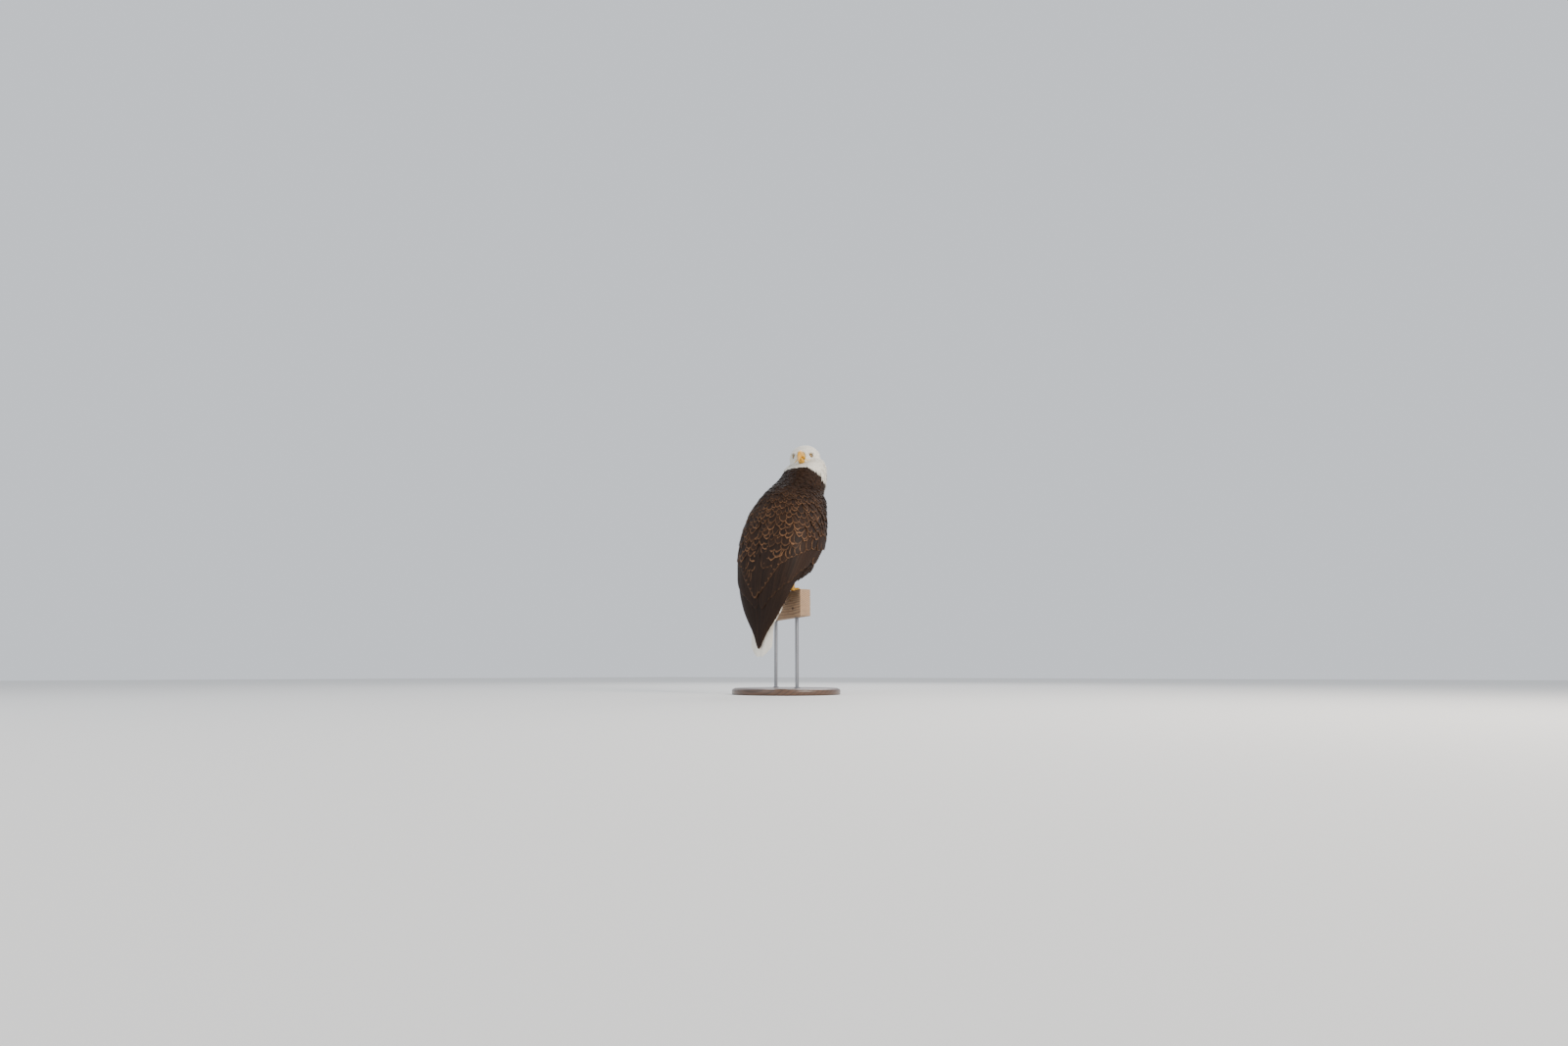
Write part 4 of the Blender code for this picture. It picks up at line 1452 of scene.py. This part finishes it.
class EAGLE_OT_tail(bpy.types.Operator):
    """Lays the white tail feathers, and the coverts over and under them"""

    bl_idname = "eagle.tail"
    bl_label = "Tail"

    def execute(self, context):
        tail = Vanes(6, 2, 71)
        for share in np.linspace(0, 1, context.scene.eagle_sizes.tail_feathers // 2):
            for way in (1, -1):
                depth = 0.0042 - 0.0078 * share + 0.0006 * (way > 0)
                offset = way * blend(0.0075, 0.0225, share)
                drop = blend(-0.221, -0.200, share)
                tip = (offset * 1.05, 0.1495 + depth * 0.6 - 0.10 * abs(offset), PERCH_TOP + drop)
                root = (offset * 0.45, 0.108 + depth, PERCH_TOP + 0.012)
                bulge = (offset, 0.136 + depth, PERCH_TOP - 0.115)
                line = smooth_path((root, bulge, tip), 20)
                outs = [Vector((way * 0.10 * share, 1, 0.15)).normalized()] * 20
                tail.add(line, outs, blend(0.036, 0.040, share), long_profile(0.84, 0.5, 0.2),
                         -0.15 * way, 0.0, tail.random.uniform(0.1, 0.6), 1.0, 0.0008)
        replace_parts(tail.piece("tail_feathers", "white_plumage"), "tail")
        roots = Roots(73)
        draw = roots.random
        low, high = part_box("undertail")
        rows = rows_down(PERCH_TOP - 0.008, low.z + 0.012, lambda height: 0.0105)
        for row, height in rows:
            share = (high.z - height) / (high.z - low.z)
            middle = Vector((0, blend(0.084, 0.112, share), height))
            length = blend(0.030, 0.046, share)
            for angle in ring_angles(16, row, draw, 0.15):
                place, out = made["undertail"].inwards(middle, around(angle), 0.08)
                if place:
                    roots.add(place, out, Vector((0, 0.22, -1)), length * 0.42, length, -0.004,
                              0.0010 + draw.uniform(0, 0.001), hug=blend(0.8, 0.35, share),
                              white=1.0, shape=draw.integers(0, 3))
        feather_piece("tail_coverts", roots, "body", "white_plumage",
                      unwrap_about(Vector((0, 0.1, 0))))
        return {"FINISHED"}


# ---------------------------------------------------------------- bill and eyes


def in_head(points):
    """The points of the head's frame, placed in the shared frame."""
    return [HEAD_FRAME @ point for point in points]


# Sections of the bill: y, height, slope in degrees, depth above, half width, in the head's frame
UPPER_BILL = (
    (-0.0330, -0.0135, 0, 0.0268, 0.0152), (-0.0360, -0.0135, 0, 0.0265, 0.0150),
    (-0.0520, -0.0135, 2, 0.0262, 0.0138), (-0.0670, -0.0145, 12, 0.0240, 0.0118),
    (-0.0800, -0.0185, 28, 0.0195, 0.0096), (-0.0895, -0.0250, 50, 0.0135, 0.0070),
    (-0.0940, -0.0335, 74, 0.0075, 0.0044), (-0.0948, -0.0430, 88, 0.0014, 0.0014),
)
LOWER_BILL = (
    (-0.0310, -0.0225, 0, 0.0090, 0.0128), (-0.0500, -0.0225, 0, 0.0083, 0.0108),
    (-0.0660, -0.0222, 0, 0.0070, 0.0084), (-0.0780, -0.0215, -6, 0.0034, 0.0050),
)
CERE_END = -0.0570
CERE_STEP = 0.0007  # how much the cere stands over the horn
NOSTRIL = (0.0130, -0.0515, 0.0012)
NOSTRIL_REACH = (0.0042, 0.0021)  # half its length and half its width
NOSTRIL_DEPTH = 0.0028
GAPE_SUNK, GAPE_RADIUS = 0.0013, 0.0024
MOUTH_LEVEL = -0.0163  # of the lower bill's edge, under the upper bill


def bill_half(rows, below, count, sides):
    """Points and faces of half a bill, arched above. below is its depth under its middle."""
    points, faces = [], []
    for row, (y, height, slope, depth, width) in enumerate(smooth_rows(rows, count)):
        up = Vector((0, -sin(radians(slope)), cos(radians(slope))))
        for i in range(sides):
            across, rise = cos(tau * i / sides), sin(tau * i / sides)
            lift = (depth if rise > 0 else below or depth) * rise
            spread = width * signed_power(across, 0.86) * (1 - 0.25 * max(rise, 0))
            points.append(Vector((spread, y, height)) + up * lift)
        if row:
            faces += ring_faces((row - 1) * sides, row * sides, sides)
    faces.append(range(sides))
    faces.append(range(count * sides - 1, (count - 1) * sides - 1, -1))
    return points, faces


class EAGLE_OT_bill(bpy.types.Operator):
    """Makes the hooked upper bill with its cere and nostrils, and the lower bill with the gape"""

    bl_idname = "eagle.bill"
    bl_label = "Bill"

    def execute(self, context):
        material = self.horn(context.scene.eagle_tints)
        self.upper(material)
        self.lower(material)
        return {"FINISHED"}

    def upper(self, material):
        points, faces = bill_half(UPPER_BILL, 0.0016, 54, 40)
        ceres, nostrils = [], []
        for k, place in enumerate(points):
            grown = smooth_step(CERE_END - 0.0016, CERE_END + 0.0005, place.y)
            out = (place - Vector((0, place.y, -0.004))).normalized()
            off = mirrored(place, math.copysign(1, place.x)) - Vector(NOSTRIL)
            along = (off.y * 0.80 - off.z * 0.60) / NOSTRIL_REACH[0]
            over = (off.y * 0.60 + off.z * 0.80) / NOSTRIL_REACH[1]
            hole = max(1 - (along ** 2 + over ** 2) ** 0.5, 0)
            points[k] = place + out * CERE_STEP * grown
            points[k].x -= math.copysign(min(hole * 2.2, 1) * NOSTRIL_DEPTH, place.x)
            ceres.append(grown)
            # the mark for the nostril's hole, which the horn paints near-black as painted shade
            nostrils.append(smooth_step(0.05, 0.45, hole))
        tips = [smooth_step(-0.018, -0.040, place.z) for place in points]
        solid("upper_bill", in_head(points), faces, material, "bill", "bill_upper",
              cere=ceres, nostril=nostrils, tip=tips)

    def lower(self, material):
        bill = Parts()
        bill.add(bill_half(LOWER_BILL, None, 26, 28))
        for place in bill.points:
            if place.z > MOUTH_LEVEL:
                place.z = MOUTH_LEVEL + (place.z - MOUTH_LEVEL) * 0.06
        for _, way in SIDES:
            line = []
            for spot in GAPE:
                place, out, _ = made["outline"].nearest(HEAD_FRAME @ mirrored(spot, way))
                line.append(TO_HEAD @ (place - out * GAPE_SUNK))
            line = smooth_path(line, 20)
            bill.add(sweep(line, lambda share, out: GAPE_RADIUS * (1 - 0.55 * share), 12))
        ceres = [smooth_step(-0.052, -0.044, place.y) for place in bill.points]
        plain = [0.0] * len(ceres)
        solid("lower_bill", in_head(bill.points), bill.faces, material, "bill",
              "bill_lower", cere=ceres, nostril=plain, tip=plain)

    def horn(self, tints):
        n = Finish("bill_horn", 0.38, Coat_Weight=0.10, Coat_Roughness=0.25, Subsurface_Weight=0.04,
                   Subsurface_Radius=(0.004, 0.002, 0.001))
        cloud = n.noise(n.place, 55.0, 4.0, 0.6)
        streak = n.noise(n.place, 190.0, 3.0, 0.55, (0.35, 0.35, 1.0))
        base = n.layers(
            tints.bill, (cloud.step(0.35, 0.7), shade(tints.bill, 0.78)),
            (n.attribute("tip") * 0.45, (0.55, 0.36, 0.16)), (streak * 0.16, (0.55, 0.27, 0.03)),
            (n.attribute("cere"), n.mix(cloud, tints.cere, shade(tints.cere, 0.86))),
            # the nostril's hole is painted near-black: painted shade in its recess
            (n.attribute("nostril"), (0.018, 0.010, 0.006)),
        )
        pores = n.noise(n.place, 900.0, 2.0)
        return n.done(base, streak * 0.22 + 0.22, streak + pores, 0.12, 0.0006)


LID_PLACE = 0.0087  # how far before the eyeball's middle the rim of its lids lies
LID_REACH = 0.0070


class EAGLE_OT_eyes(bpy.types.Operator):
    """Makes the eyeballs with amber irises and dark pupils, their lids and the brows over them"""

    bl_idname = "eagle.eyes"
    bl_label = "Eyes, lids and brows"

    def execute(self, context):
        radius = context.scene.eagle_sizes.eye_radius
        material = self.eye_finish(context.scene.eagle_tints)
        rings, sides = 30, 36
        polars = [pi * k / rings for k in range(rings + 1)]
        reaches = [radius + 0.0007 * smooth_step(0.62, 0.15, polar) for polar in polars]
        profile = [(reach * sin(polar), reach * cos(polar)) for reach, polar in zip(reaches, polars)]
        points, faces = lathe(profile, sides)
        marks = [polars[0], *np.repeat(polars[1:-1], sides), polars[-1]]
        for (label, _), (centre, gaze) in zip(SIDES, eye_lines()):
            across, up, _ = eye_axes(gaze)
            turn = Matrix((across, up, gaze)).transposed()
            placed = in_head(centre + turn @ p for p in points)
            solid(f"eyeball_{label}", placed, faces, material, "eyes", f"eye_{label}", polar=marks)
        self.lids_and_brows()
        return {"FINISHED"}

    def lids_and_brows(self):
        """A thin rim of dark skin round each eye, and a bony brow that shades it from above."""
        parts = Parts()
        for centre, gaze in eye_lines():
            _, up, front = eye_axes(gaze)
            ring = []
            for k in range(49):
                c, s = cos(tau * k / 48), sin(tau * k / 48)
                high = max(s, 0)
                reach = LID_REACH - 0.0016 * high ** 2
                ring.append(centre + gaze * (LID_PLACE + 0.0003 * high)
                            + front * c * reach * (1.16 if c > 0 else 1.08) + up * s * reach * 0.94)

            def shelf(share, out):
                body = sin(pi * min(max(share, 0.04), 0.96)) ** 0.5
                return body * (0.0010 + 0.0009 * abs(out.dot(up)) ** 2)

            rim = sweep(ring, lambda share, out: 0.00075, 10)
            brow = sweep([brow_line(centre, gaze, k / 28) for k in range(29)], shelf, 14)
            parts.add(rim, 1.0)
            parts.add(brow)
        n = Finish("lid_skin", 0.6)
        cloud = n.noise(n.place, 260.0)
        brow = n.mix(cloud, (0.46, 0.37, 0.24), (0.72, 0.64, 0.48))
        lid = n.mix(cloud, (0.045, 0.024, 0.014), (0.13, 0.075, 0.038))
        relief = n.noise(n.place, 800.0, 3.0)
        material = n.done(n.mix(n.attribute("rim"), brow, lid), None, relief, 0.4, 0.0006)
        solid("lids_and_brows", in_head(parts.points), parts.faces, material,
              "white_plumage", rim=parts.marks)

    def eye_finish(self, tints):
        n = Finish("eye", 0.05, Coat_Weight=1.0, Coat_Roughness=0.02, IOR=1.4)
        polar = n.attribute("polar")
        fibres = n.noise(n.place, 900.0, 3.0, 0.6)
        return n.done(n.layers(
            tints.iris, (fibres, shade(tints.iris, 0.62)), (polar.step(0.46, 0.60), (0.13, 0.060, 0.020)),
            (polar.step(0.44, 0.34) * 0.4, (0.42, 0.20, 0.04)),
            (polar.step(0.66, 0.70), (0.10, 0.07, 0.05)), (polar.step(0.315, 0.295), (0.004, 0.003, 0.003)),
        ))


# ---------------------------------------------------------------- feet

TOE_RADIUS = 0.0074
CLAW_RADIUS = 0.0047
SHANK_FOOT, SHANK_TOP, SHANK_RADIUS = 0.016, 0.052, 0.0083
FOOT_OFFSET = 0.047  # along the rail, from the middle
TOES = (  # name, length, way over the rail, spread in degrees, claw length
    ("1", 0.054, -1, -24, 0.027), ("2", 0.066, -1, 0, 0.027), ("3", 0.056, -1, 24, 0.027),
    ("hind", 0.046, 1, 0, 0.034),
)


def on_rail(distance, across, height):
    """A place in the rail's own directions; height is above the perch."""
    c, s = cos(RAIL_TURN), sin(RAIL_TURN)
    return Vector((distance * c - across * s, distance * s + across * c, PERCH_TOP + height))


def toe_run(length):
    """The toe's line from the foot over the rail's edge: (way out, height above the perch)."""
    edge, clear = RAIL_SIZE[1] / 2, TOE_RADIUS + 0.0004
    run = [(0.0, SHANK_FOOT), (edge * 0.5, clear + 0.0015)]
    for turn in (0, 30, 60, 90):
        run.append((edge + clear * sin(radians(turn)), clear * cos(radians(turn))))
    used = edge + clear * pi / 2
    run.append((edge + clear + 0.0012, -max(length - used, 0.004)))
    return run


def plates(share, count, height, bend):
    """The relief of the horny plates along a toe or a shank."""
    return height * sin(pi * min((share * count) % 1.0 * bend, 1.0)) ** 0.5


class EAGLE_OT_feet(bpy.types.Operator):
    """Makes the scaly shanks and toes that grip the rail, and their curved claws"""

    bl_idname = "eagle.feet"
    bl_label = "Feet and claws"

    def execute(self, context):
        tints = context.scene.eagle_tints
        skin, horn = self.scaly_skin(tints), self.claw_horn(tints)
        for label, way in SIDES:
            offset = way * FOOT_OFFSET
            foot = Parts()
            for name, length, over, spread, claw_length in TOES:
                run, lean = toe_run(length), math.tan(radians(spread))
                path = smooth_path(
                    [on_rail(offset + lean * out, over * out, high) for out, high in run], 64)
                foot.add(self.toe(path, round(length / 0.0036), on_rail(offset, 0, -0.03)))
                points, faces = self.claw(offset, run[-1], lean, over, claw_length)
                solid(f"talon_{label}_{name}", points, faces, horn, "claws", f"claw_{label}_{name}")
            pad = smooth_path([on_rail(offset, 0, h) for h in (0.0060, 0.0105, 0.015, 0.0195)], 12)
            foot.add(sweep(pad, lambda share, out: 0.0125 - 0.003 * share, 28, 0.2))
            foot.add(self.shank(offset))
            solid(f"scaly_foot_{label}", foot.points, foot.faces, skin, "yellow_skin",
                  f"foot_{label}", f"shank_{label}")
        return {"FINISHED"}

    def toe(self, path, scutes, middle):
        """A toe with plates over its top and swollen joints."""
        def radius(share, out):
            place = path[round(share * (len(path) - 1))]
            top = smooth_step(-0.1, 0.7, out.dot((place - middle).normalized()))
            plate = plates(share, scutes, 0.0008, 1.15) - 0.0005
            joints = 0.0009 * cos(share * tau * 2.6 + 0.6)
            body = TOE_RADIUS * (1.0 - 0.24 * share ** 1.3 - 0.16 * smooth_step(0.84, 1, share))
            return body + joints * (0.5 + 0.5 * top) + top * plate - (1 - top) * 0.0003
        return sweep(path, radius, 26, 0.35)

    def shank(self, offset):
        """The bare shank, with plates down its front."""
        bottom, top = on_rail(offset, 0.0, SHANK_FOOT - 0.004), on_rail(offset, -0.004, SHANK_TOP)
        middle = bottom.lerp(top, 0.5) + Vector((0, 0.001, 0))

        def radius(share, out):
            plate = plates(share, 9, 0.0006, 1.12) * smooth_step(-0.2, 0.6, -out.y)
            return SHANK_RADIUS + 0.0006 * abs(share - 0.5) * 2 + plate
        return sweep(smooth_path((bottom, middle, top), 60), radius, 30)

    def claw(self, offset, end, lean, over, length):
        """A claw that curves down from the toe's end."""
        out, height = end
        arc, first = length / radians(95), radians(-35)
        path = []
        for k in range(28):
            a = radians(blend(-46, 60, k / 27))
            reach = out + arc * (cos(a) - cos(first))
            level = height - 0.0005 - arc * (sin(a) - sin(first))
            path.append(on_rail(offset + lean * (out + 0.25 * (out - reach)), over * reach, level))
        flank = on_rail(1, 0, 0) - on_rail(0, 0, 0)

        def radius(share, out_way):
            return CLAW_RADIUS * (1 - share ** 1.5 * 0.93) * (1 - 0.22 * abs(out_way.dot(flank)))
        return sweep(path, radius, 20, 0.6)

    def scaly_skin(self, tints):
        n = Finish("scaly_skin", 0.5, Subsurface_Weight=0.05)
        gap = n.value("ShaderNodeTexVoronoi", {"Vector": n.place, "Scale": 620.0}, "Distance",
                      feature="DISTANCE_TO_EDGE").step(0.0, 0.16)
        base = n.layers(tints.foot, (n.noise(n.place, 120.0, 3.0), shade(tints.foot, 0.74)),
                        (gap * -0.55 + 0.55, (0.36, 0.20, 0.04)))
        return n.done(base, gap * -0.15 + 0.58, gap, 0.45, 0.0005)

    def claw_horn(self, tints):
        n = Finish("claw_horn", 0.25, Coat_Weight=0.3, Coat_Roughness=0.15)
        streak = n.noise(n.place, 300.0, 3.0, 0.55, (1, 1, 0.25))
        base = n.mix(streak, tints.claw, (0.070, 0.058, 0.050))
        return n.done(base, streak * 0.25 + 0.16, streak, 0.15, 0.0005)


# ---------------------------------------------------------------- rail and stand

KNOTS = (  # along the rail, height from the perch, half height
    (0.068, -0.026, 0.0062), (-0.092, -0.060, 0.0048), (0.118, -0.062, 0.0036),
    (-0.030, -0.020, 0.0030),
)
CRACKS = ((0.021, 1.0), (-0.012, 0.7), (-0.030, 0.5))  # height from the rail's middle, strength


def weathering(p):
    """How far the timber's surface lies in at a place in the rail's own frame."""
    coarse = noise.noise(Vector((p.x * 9, p.y * 40, p.z * 40)))
    fine = noise.noise(Vector((p.x * 30, p.y * 320, p.z * 320)))
    dent = -0.0004 * abs(coarse) - 0.00022 * abs(fine)
    end = smooth_step(RAIL_SIZE[0] / 2 - 0.035, RAIL_SIZE[0] / 2, abs(p.x))
    for where, strength in CRACKS:
        wander = where + 0.002 * noise.noise(Vector((p.x * 25, where * 100, 0)))
        dent -= 0.0022 * strength * end * smooth_step(0.0016, 0.0, abs(p.z - wander))
    return dent


class EAGLE_OT_rail(bpy.types.Operator):
    """Makes the weathered rail with eased edges, a few cracks and knots"""

    bl_idname = "eagle.rail"
    bl_label = "Timber rail"

    def execute(self, context):
        shape = bmesh.new()
        bmesh.ops.create_cube(shape, size=1.0)
        bmesh.ops.scale(shape, verts=shape.verts, vec=RAIL_SIZE)
        bmesh.ops.bevel(shape, geom=shape.edges[:], offset=0.0022, segments=3, affect="EDGES",
                        profile=0.6)
        for axis, spans in enumerate((110, 12, 30)):
            normal = Vector((axis == 0, axis == 1, axis == 2))
            for k in range(1, spans):
                at = normal * (RAIL_SIZE[axis] * (k / spans - 0.5))
                bmesh.ops.bisect_plane(shape, geom=shape.verts[:] + shape.edges[:] + shape.faces[:],
                                       plane_co=at, plane_no=normal)
        shape.normal_update()
        place = (Matrix.Translation((0, 0, PERCH_TOP - RAIL_SIZE[2] / 2))
                 @ Matrix.Rotation(RAIL_TURN, 4, "Z"))
        moves = [vertex.normal * weathering(vertex.co) for vertex in shape.verts]
        for vertex, move in zip(shape.verts, moves):
            vertex.co = place @ (vertex.co + move)
        bmesh.ops.triangulate(shape, faces=[f for f in shape.faces if len(f.verts) > 4])
        mesh = mesh_from(shape, "timber_rail")
        mesh.shade_smooth()
        material = self.timber(context.scene.eagle_tints)
        settle(new_object("timber_rail", mesh, material), "timber", "perch_rail")
        return {"FINISHED"}

    def timber(self, tints):
        n = Finish("weathered_timber", 0.85)
        lengthwise = n.value("ShaderNodeMapping", {
            "Vector": n.place, "Location": (0.0, 0.0, -PERCH_TOP), "Rotation": (0.0, 0.0, -RAIL_TURN)})
        marks = n.values("ShaderNodeGroup", {"Vector": lengthwise}, node_tree=grain())
        dark = marks["Lines"].step(0.45, 1.0) * marks["Figure"].step(0.30, 0.75)
        fibre = marks["Fibre"].step(0.35, 0.75)
        along, _, height = n.split(lengthwise)
        knots = None
        for x, z, size in KNOTS:
            far = n.distance((along - x) * (0.62 / size), (height - z) * (1.0 / size))
            knot = far.step(1.25, 0.55)
            knots = n.math("MAXIMUM", knots, knot) if knots else knot
        stain = n.noise(n.place, 16.0, 4.0, 0.6).step(0.52, 0.72)
        base = n.layers(
            shade(tints.timber, 0.8), (marks["Figure"], shade(tints.timber, 1.25)),
            (dark * 0.75, tints.timber_line), (fibre * 0.35, (0.46, 0.36, 0.26)),
            (knots * 0.88, (0.045, 0.024, 0.014)), (stain * 0.45, (0.15, 0.115, 0.085)),
        )
        return n.done(base, dark * 0.1 + 0.78, fibre * 0.5 - dark * 0.9, 0.6, 0.0012)


class EAGLE_OT_stand(bpy.types.Operator):
    """Makes the turned wooden base and its two steel rods"""

    bl_idname = "eagle.stand"
    bl_label = "Display stand"

    def execute(self, context):
        tints = context.scene.eagle_tints
        _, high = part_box("stand_base")
        radius, thick = high.x, high.z
        moulding = (  # way in from the rim, way down from the top
            (0, 0.0085), (0.0008, 0.0060), (0.0034, 0.0032), (0.0062, 0.0028), (0.0078, 0.0016),
            (0.0100, 0.0003), (0.0135, 0), (radius * 0.5, 0), (radius, 0),
        )
        profile = [(0.0, 0.0), (radius - 0.0035, 0.0), (radius - 0.0012, 0.0010), (radius, 0.0036)]
        profile += [(radius - way_in, thick - down) for way_in, down in moulding]
        points, faces = lathe(profile, 128)
        solid("stand_turned_base", points, faces, self.varnish(tints), "stand_wood", "stand_base",
              sharp=50)
        steel = self.steel(tints)
        for label, _ in SIDES:
            low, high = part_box(f"stand_rod_{label}")
            middle, reach = (low + high) / 2, (high.x - low.x) / 2
            foot, neck = reach + 0.0040, reach + 0.0022
            profile = [(0, low.z), (foot, low.z), (foot, low.z + 0.0022), (reach, low.z + 0.0024)]
            profile += [(reach, level) for level in np.linspace(low.z + 0.01, high.z - 0.004, 38)]
            profile += [(neck, high.z - 0.0026), (neck, high.z - 0.0024), (neck, high.z), (0, high.z)]
            points, faces = lathe(profile, 32)
            shift = Vector((middle.x, middle.y, 0))
            solid(f"stand_steel_rod_{label}", [shift + p for p in points], faces, steel, "stand_steel",
                  f"stand_rod_{label}", sharp=40)
        return {"FINISHED"}

    def varnish(self, tints):
        n = Finish("stand_varnish", 0.35, Coat_Weight=0.4, Coat_Roughness=0.18)
        marks = n.values("ShaderNodeGroup", {"Scale": 0.55, "Vector": n.place}, node_tree=grain())
        base = n.layers(
            shade(tints.stand_wood, 0.6), (marks["Figure"], shade(tints.stand_wood, 1.7)),
            (marks["Lines"].step(0.5, 1.0) * 0.45, (0.020, 0.010, 0.006)),
        )
        return n.done(base, marks["Fibre"] * 0.2 + 0.25, marks["Fibre"], 0.08, 0.0005)

    def steel(self, tints):
        n = Finish("stand_rod_steel", 0.35, Metallic=1.0)
        brushed = n.noise(n.place, 700.0, 3.0, 0.6, (1, 1, 0.02))
        base = n.mix(brushed, tints.stand_steel, shade(tints.stand_steel, 1.8))
        return n.done(base, brushed * 0.25 + 0.24, brushed, 0.10, 0.0003)


# ---------------------------------------------------------------- floor, lights and camera

LIGHTS = (  # name, place from the bird: towards the camera, to its right, up; size, share, colour
    ("key", (2.0, 1.9, 1.1), 1.3, 1.0, (1, 0.93, 0.84)),
    ("fill", (2.3, -2.2, 1.0), 2.4, 0.28, (0.9, 0.95, 1)),
    ("rim", (-2.2, 0.4, 1.9), 2.0, 0.45, (1, 1, 1)),
)
LOOKED_AT = Vector((-0.012, 0.03, 0.50))
FLOOR_REACH = 9.0


class EAGLE_OT_stage(bpy.types.Operator):
    """Makes the plain floor, the soft lights and the camera"""

    bl_idname = "eagle.stage"
    bl_label = "Floor, lights and camera"

    def execute(self, context):
        stage = context.scene.eagle_stage
        corners = [(x * FLOOR_REACH, y * FLOOR_REACH, 0.0) for x, y in ((-1, -1), (1, -1), (1, 1), (-1, 1))]
        mesh = mesh_of("floor", corners, [(0, 1, 2, 3)])
        n = Finish("floor_paint", 0.8)
        paint = n.done(n.mix(n.noise(n.place, 3.0, 2.0), shade(stage.floor, 0.985), stage.floor))
        new_object("floor", mesh, paint)
        world = bpy.data.worlds.new("studio")
        world.use_nodes = True
        sky = world.node_tree.nodes["Background"]
        sky.inputs["Color"].default_value = (0.86, 0.90, 0.96, 1)
        sky.inputs["Strength"].default_value = 0.95
        context.scene.world = world
        look = Vector((sin(stage.camera_side), -cos(stage.camera_side), 0))
        right = UP.cross(look)
        for name, (ahead, aside, up), size, share, tint_of in LIGHTS:
            lamp = bpy.data.lights.new(name, "AREA")
            lamp.size, lamp.energy, lamp.color = size, stage.key_power * share, tint_of
            lit = bpy.data.objects.new(name, lamp)
            way = look * ahead + right * aside + UP * up
            lit.location = LOOKED_AT + way
            lit.rotation_euler = (-way).to_track_quat("-Z", "Y").to_euler()
            context.scene.collection.objects.link(lit)
        lens = bpy.data.cameras.new("camera")
        lens.sensor_width = 36.0
        lens.lens = stage.lens
        lens.clip_start = 0.02
        camera = bpy.data.objects.new("camera", lens)
        camera.location = LOOKED_AT + look * stage.camera_distance
        camera.location.z = stage.camera_height
        camera.rotation_euler = (pi / 2 + stage.camera_pitch, 0, stage.camera_side)
        context.scene.collection.objects.link(camera)
        context.scene.camera = camera
        return {"FINISHED"}


class EAGLE_PT_panel(bpy.types.Panel):
    """Lists the makers of the eagle's pieces"""

    bl_label = "Perched eagle"
    bl_idname = "EAGLE_PT_panel"
    bl_space_type = "VIEW_3D"
    bl_region_type = "UI"
    bl_category = "Eagle"

    def draw(self, context):
        for name, group in GROUPS:
            box = self.layout.box()
            box.label(text=group.__doc__)
            for key in group.__annotations__:
                box.prop(getattr(context.scene, name), key)
        for operator in MAKERS:
            self.layout.operator(operator.bl_idname)


MAKERS = (
    EAGLE_OT_skin, EAGLE_OT_white_coat, EAGLE_OT_breast_coat, EAGLE_OT_back_coat, EAGLE_OT_leg_coat,
    EAGLE_OT_flight_feathers, EAGLE_OT_tail, EAGLE_OT_bill, EAGLE_OT_eyes, EAGLE_OT_feet,
    EAGLE_OT_rail, EAGLE_OT_stand, EAGLE_OT_stage,
)
GROUPS = (("eagle_sizes", EagleSizes), ("eagle_tints", EagleTints), ("eagle_stage", EagleStage))


def register():
    for name, group in GROUPS:
        bpy.utils.register_class(group)
        setattr(bpy.types.Scene, name, PointerProperty(type=group))
    for kind in (*MAKERS, EAGLE_PT_panel):
        bpy.utils.register_class(kind)


def unregister():
    for kind in (EAGLE_PT_panel, *reversed(MAKERS)):
        bpy.utils.unregister_class(kind)
    for name, group in reversed(GROUPS):
        delattr(bpy.types.Scene, name)
        bpy.utils.unregister_class(group)


def main():
    register()
    for maker in MAKERS:
        family, name = maker.bl_idname.split(".")
        getattr(getattr(bpy.ops, family), name)()
    for kind in VANES:
        group = vane_library(kind)
        for shape in list(group.objects):
            bpy.data.objects.remove(shape)
        bpy.data.collections.remove(group)


if __name__ == "__main__":
    main()
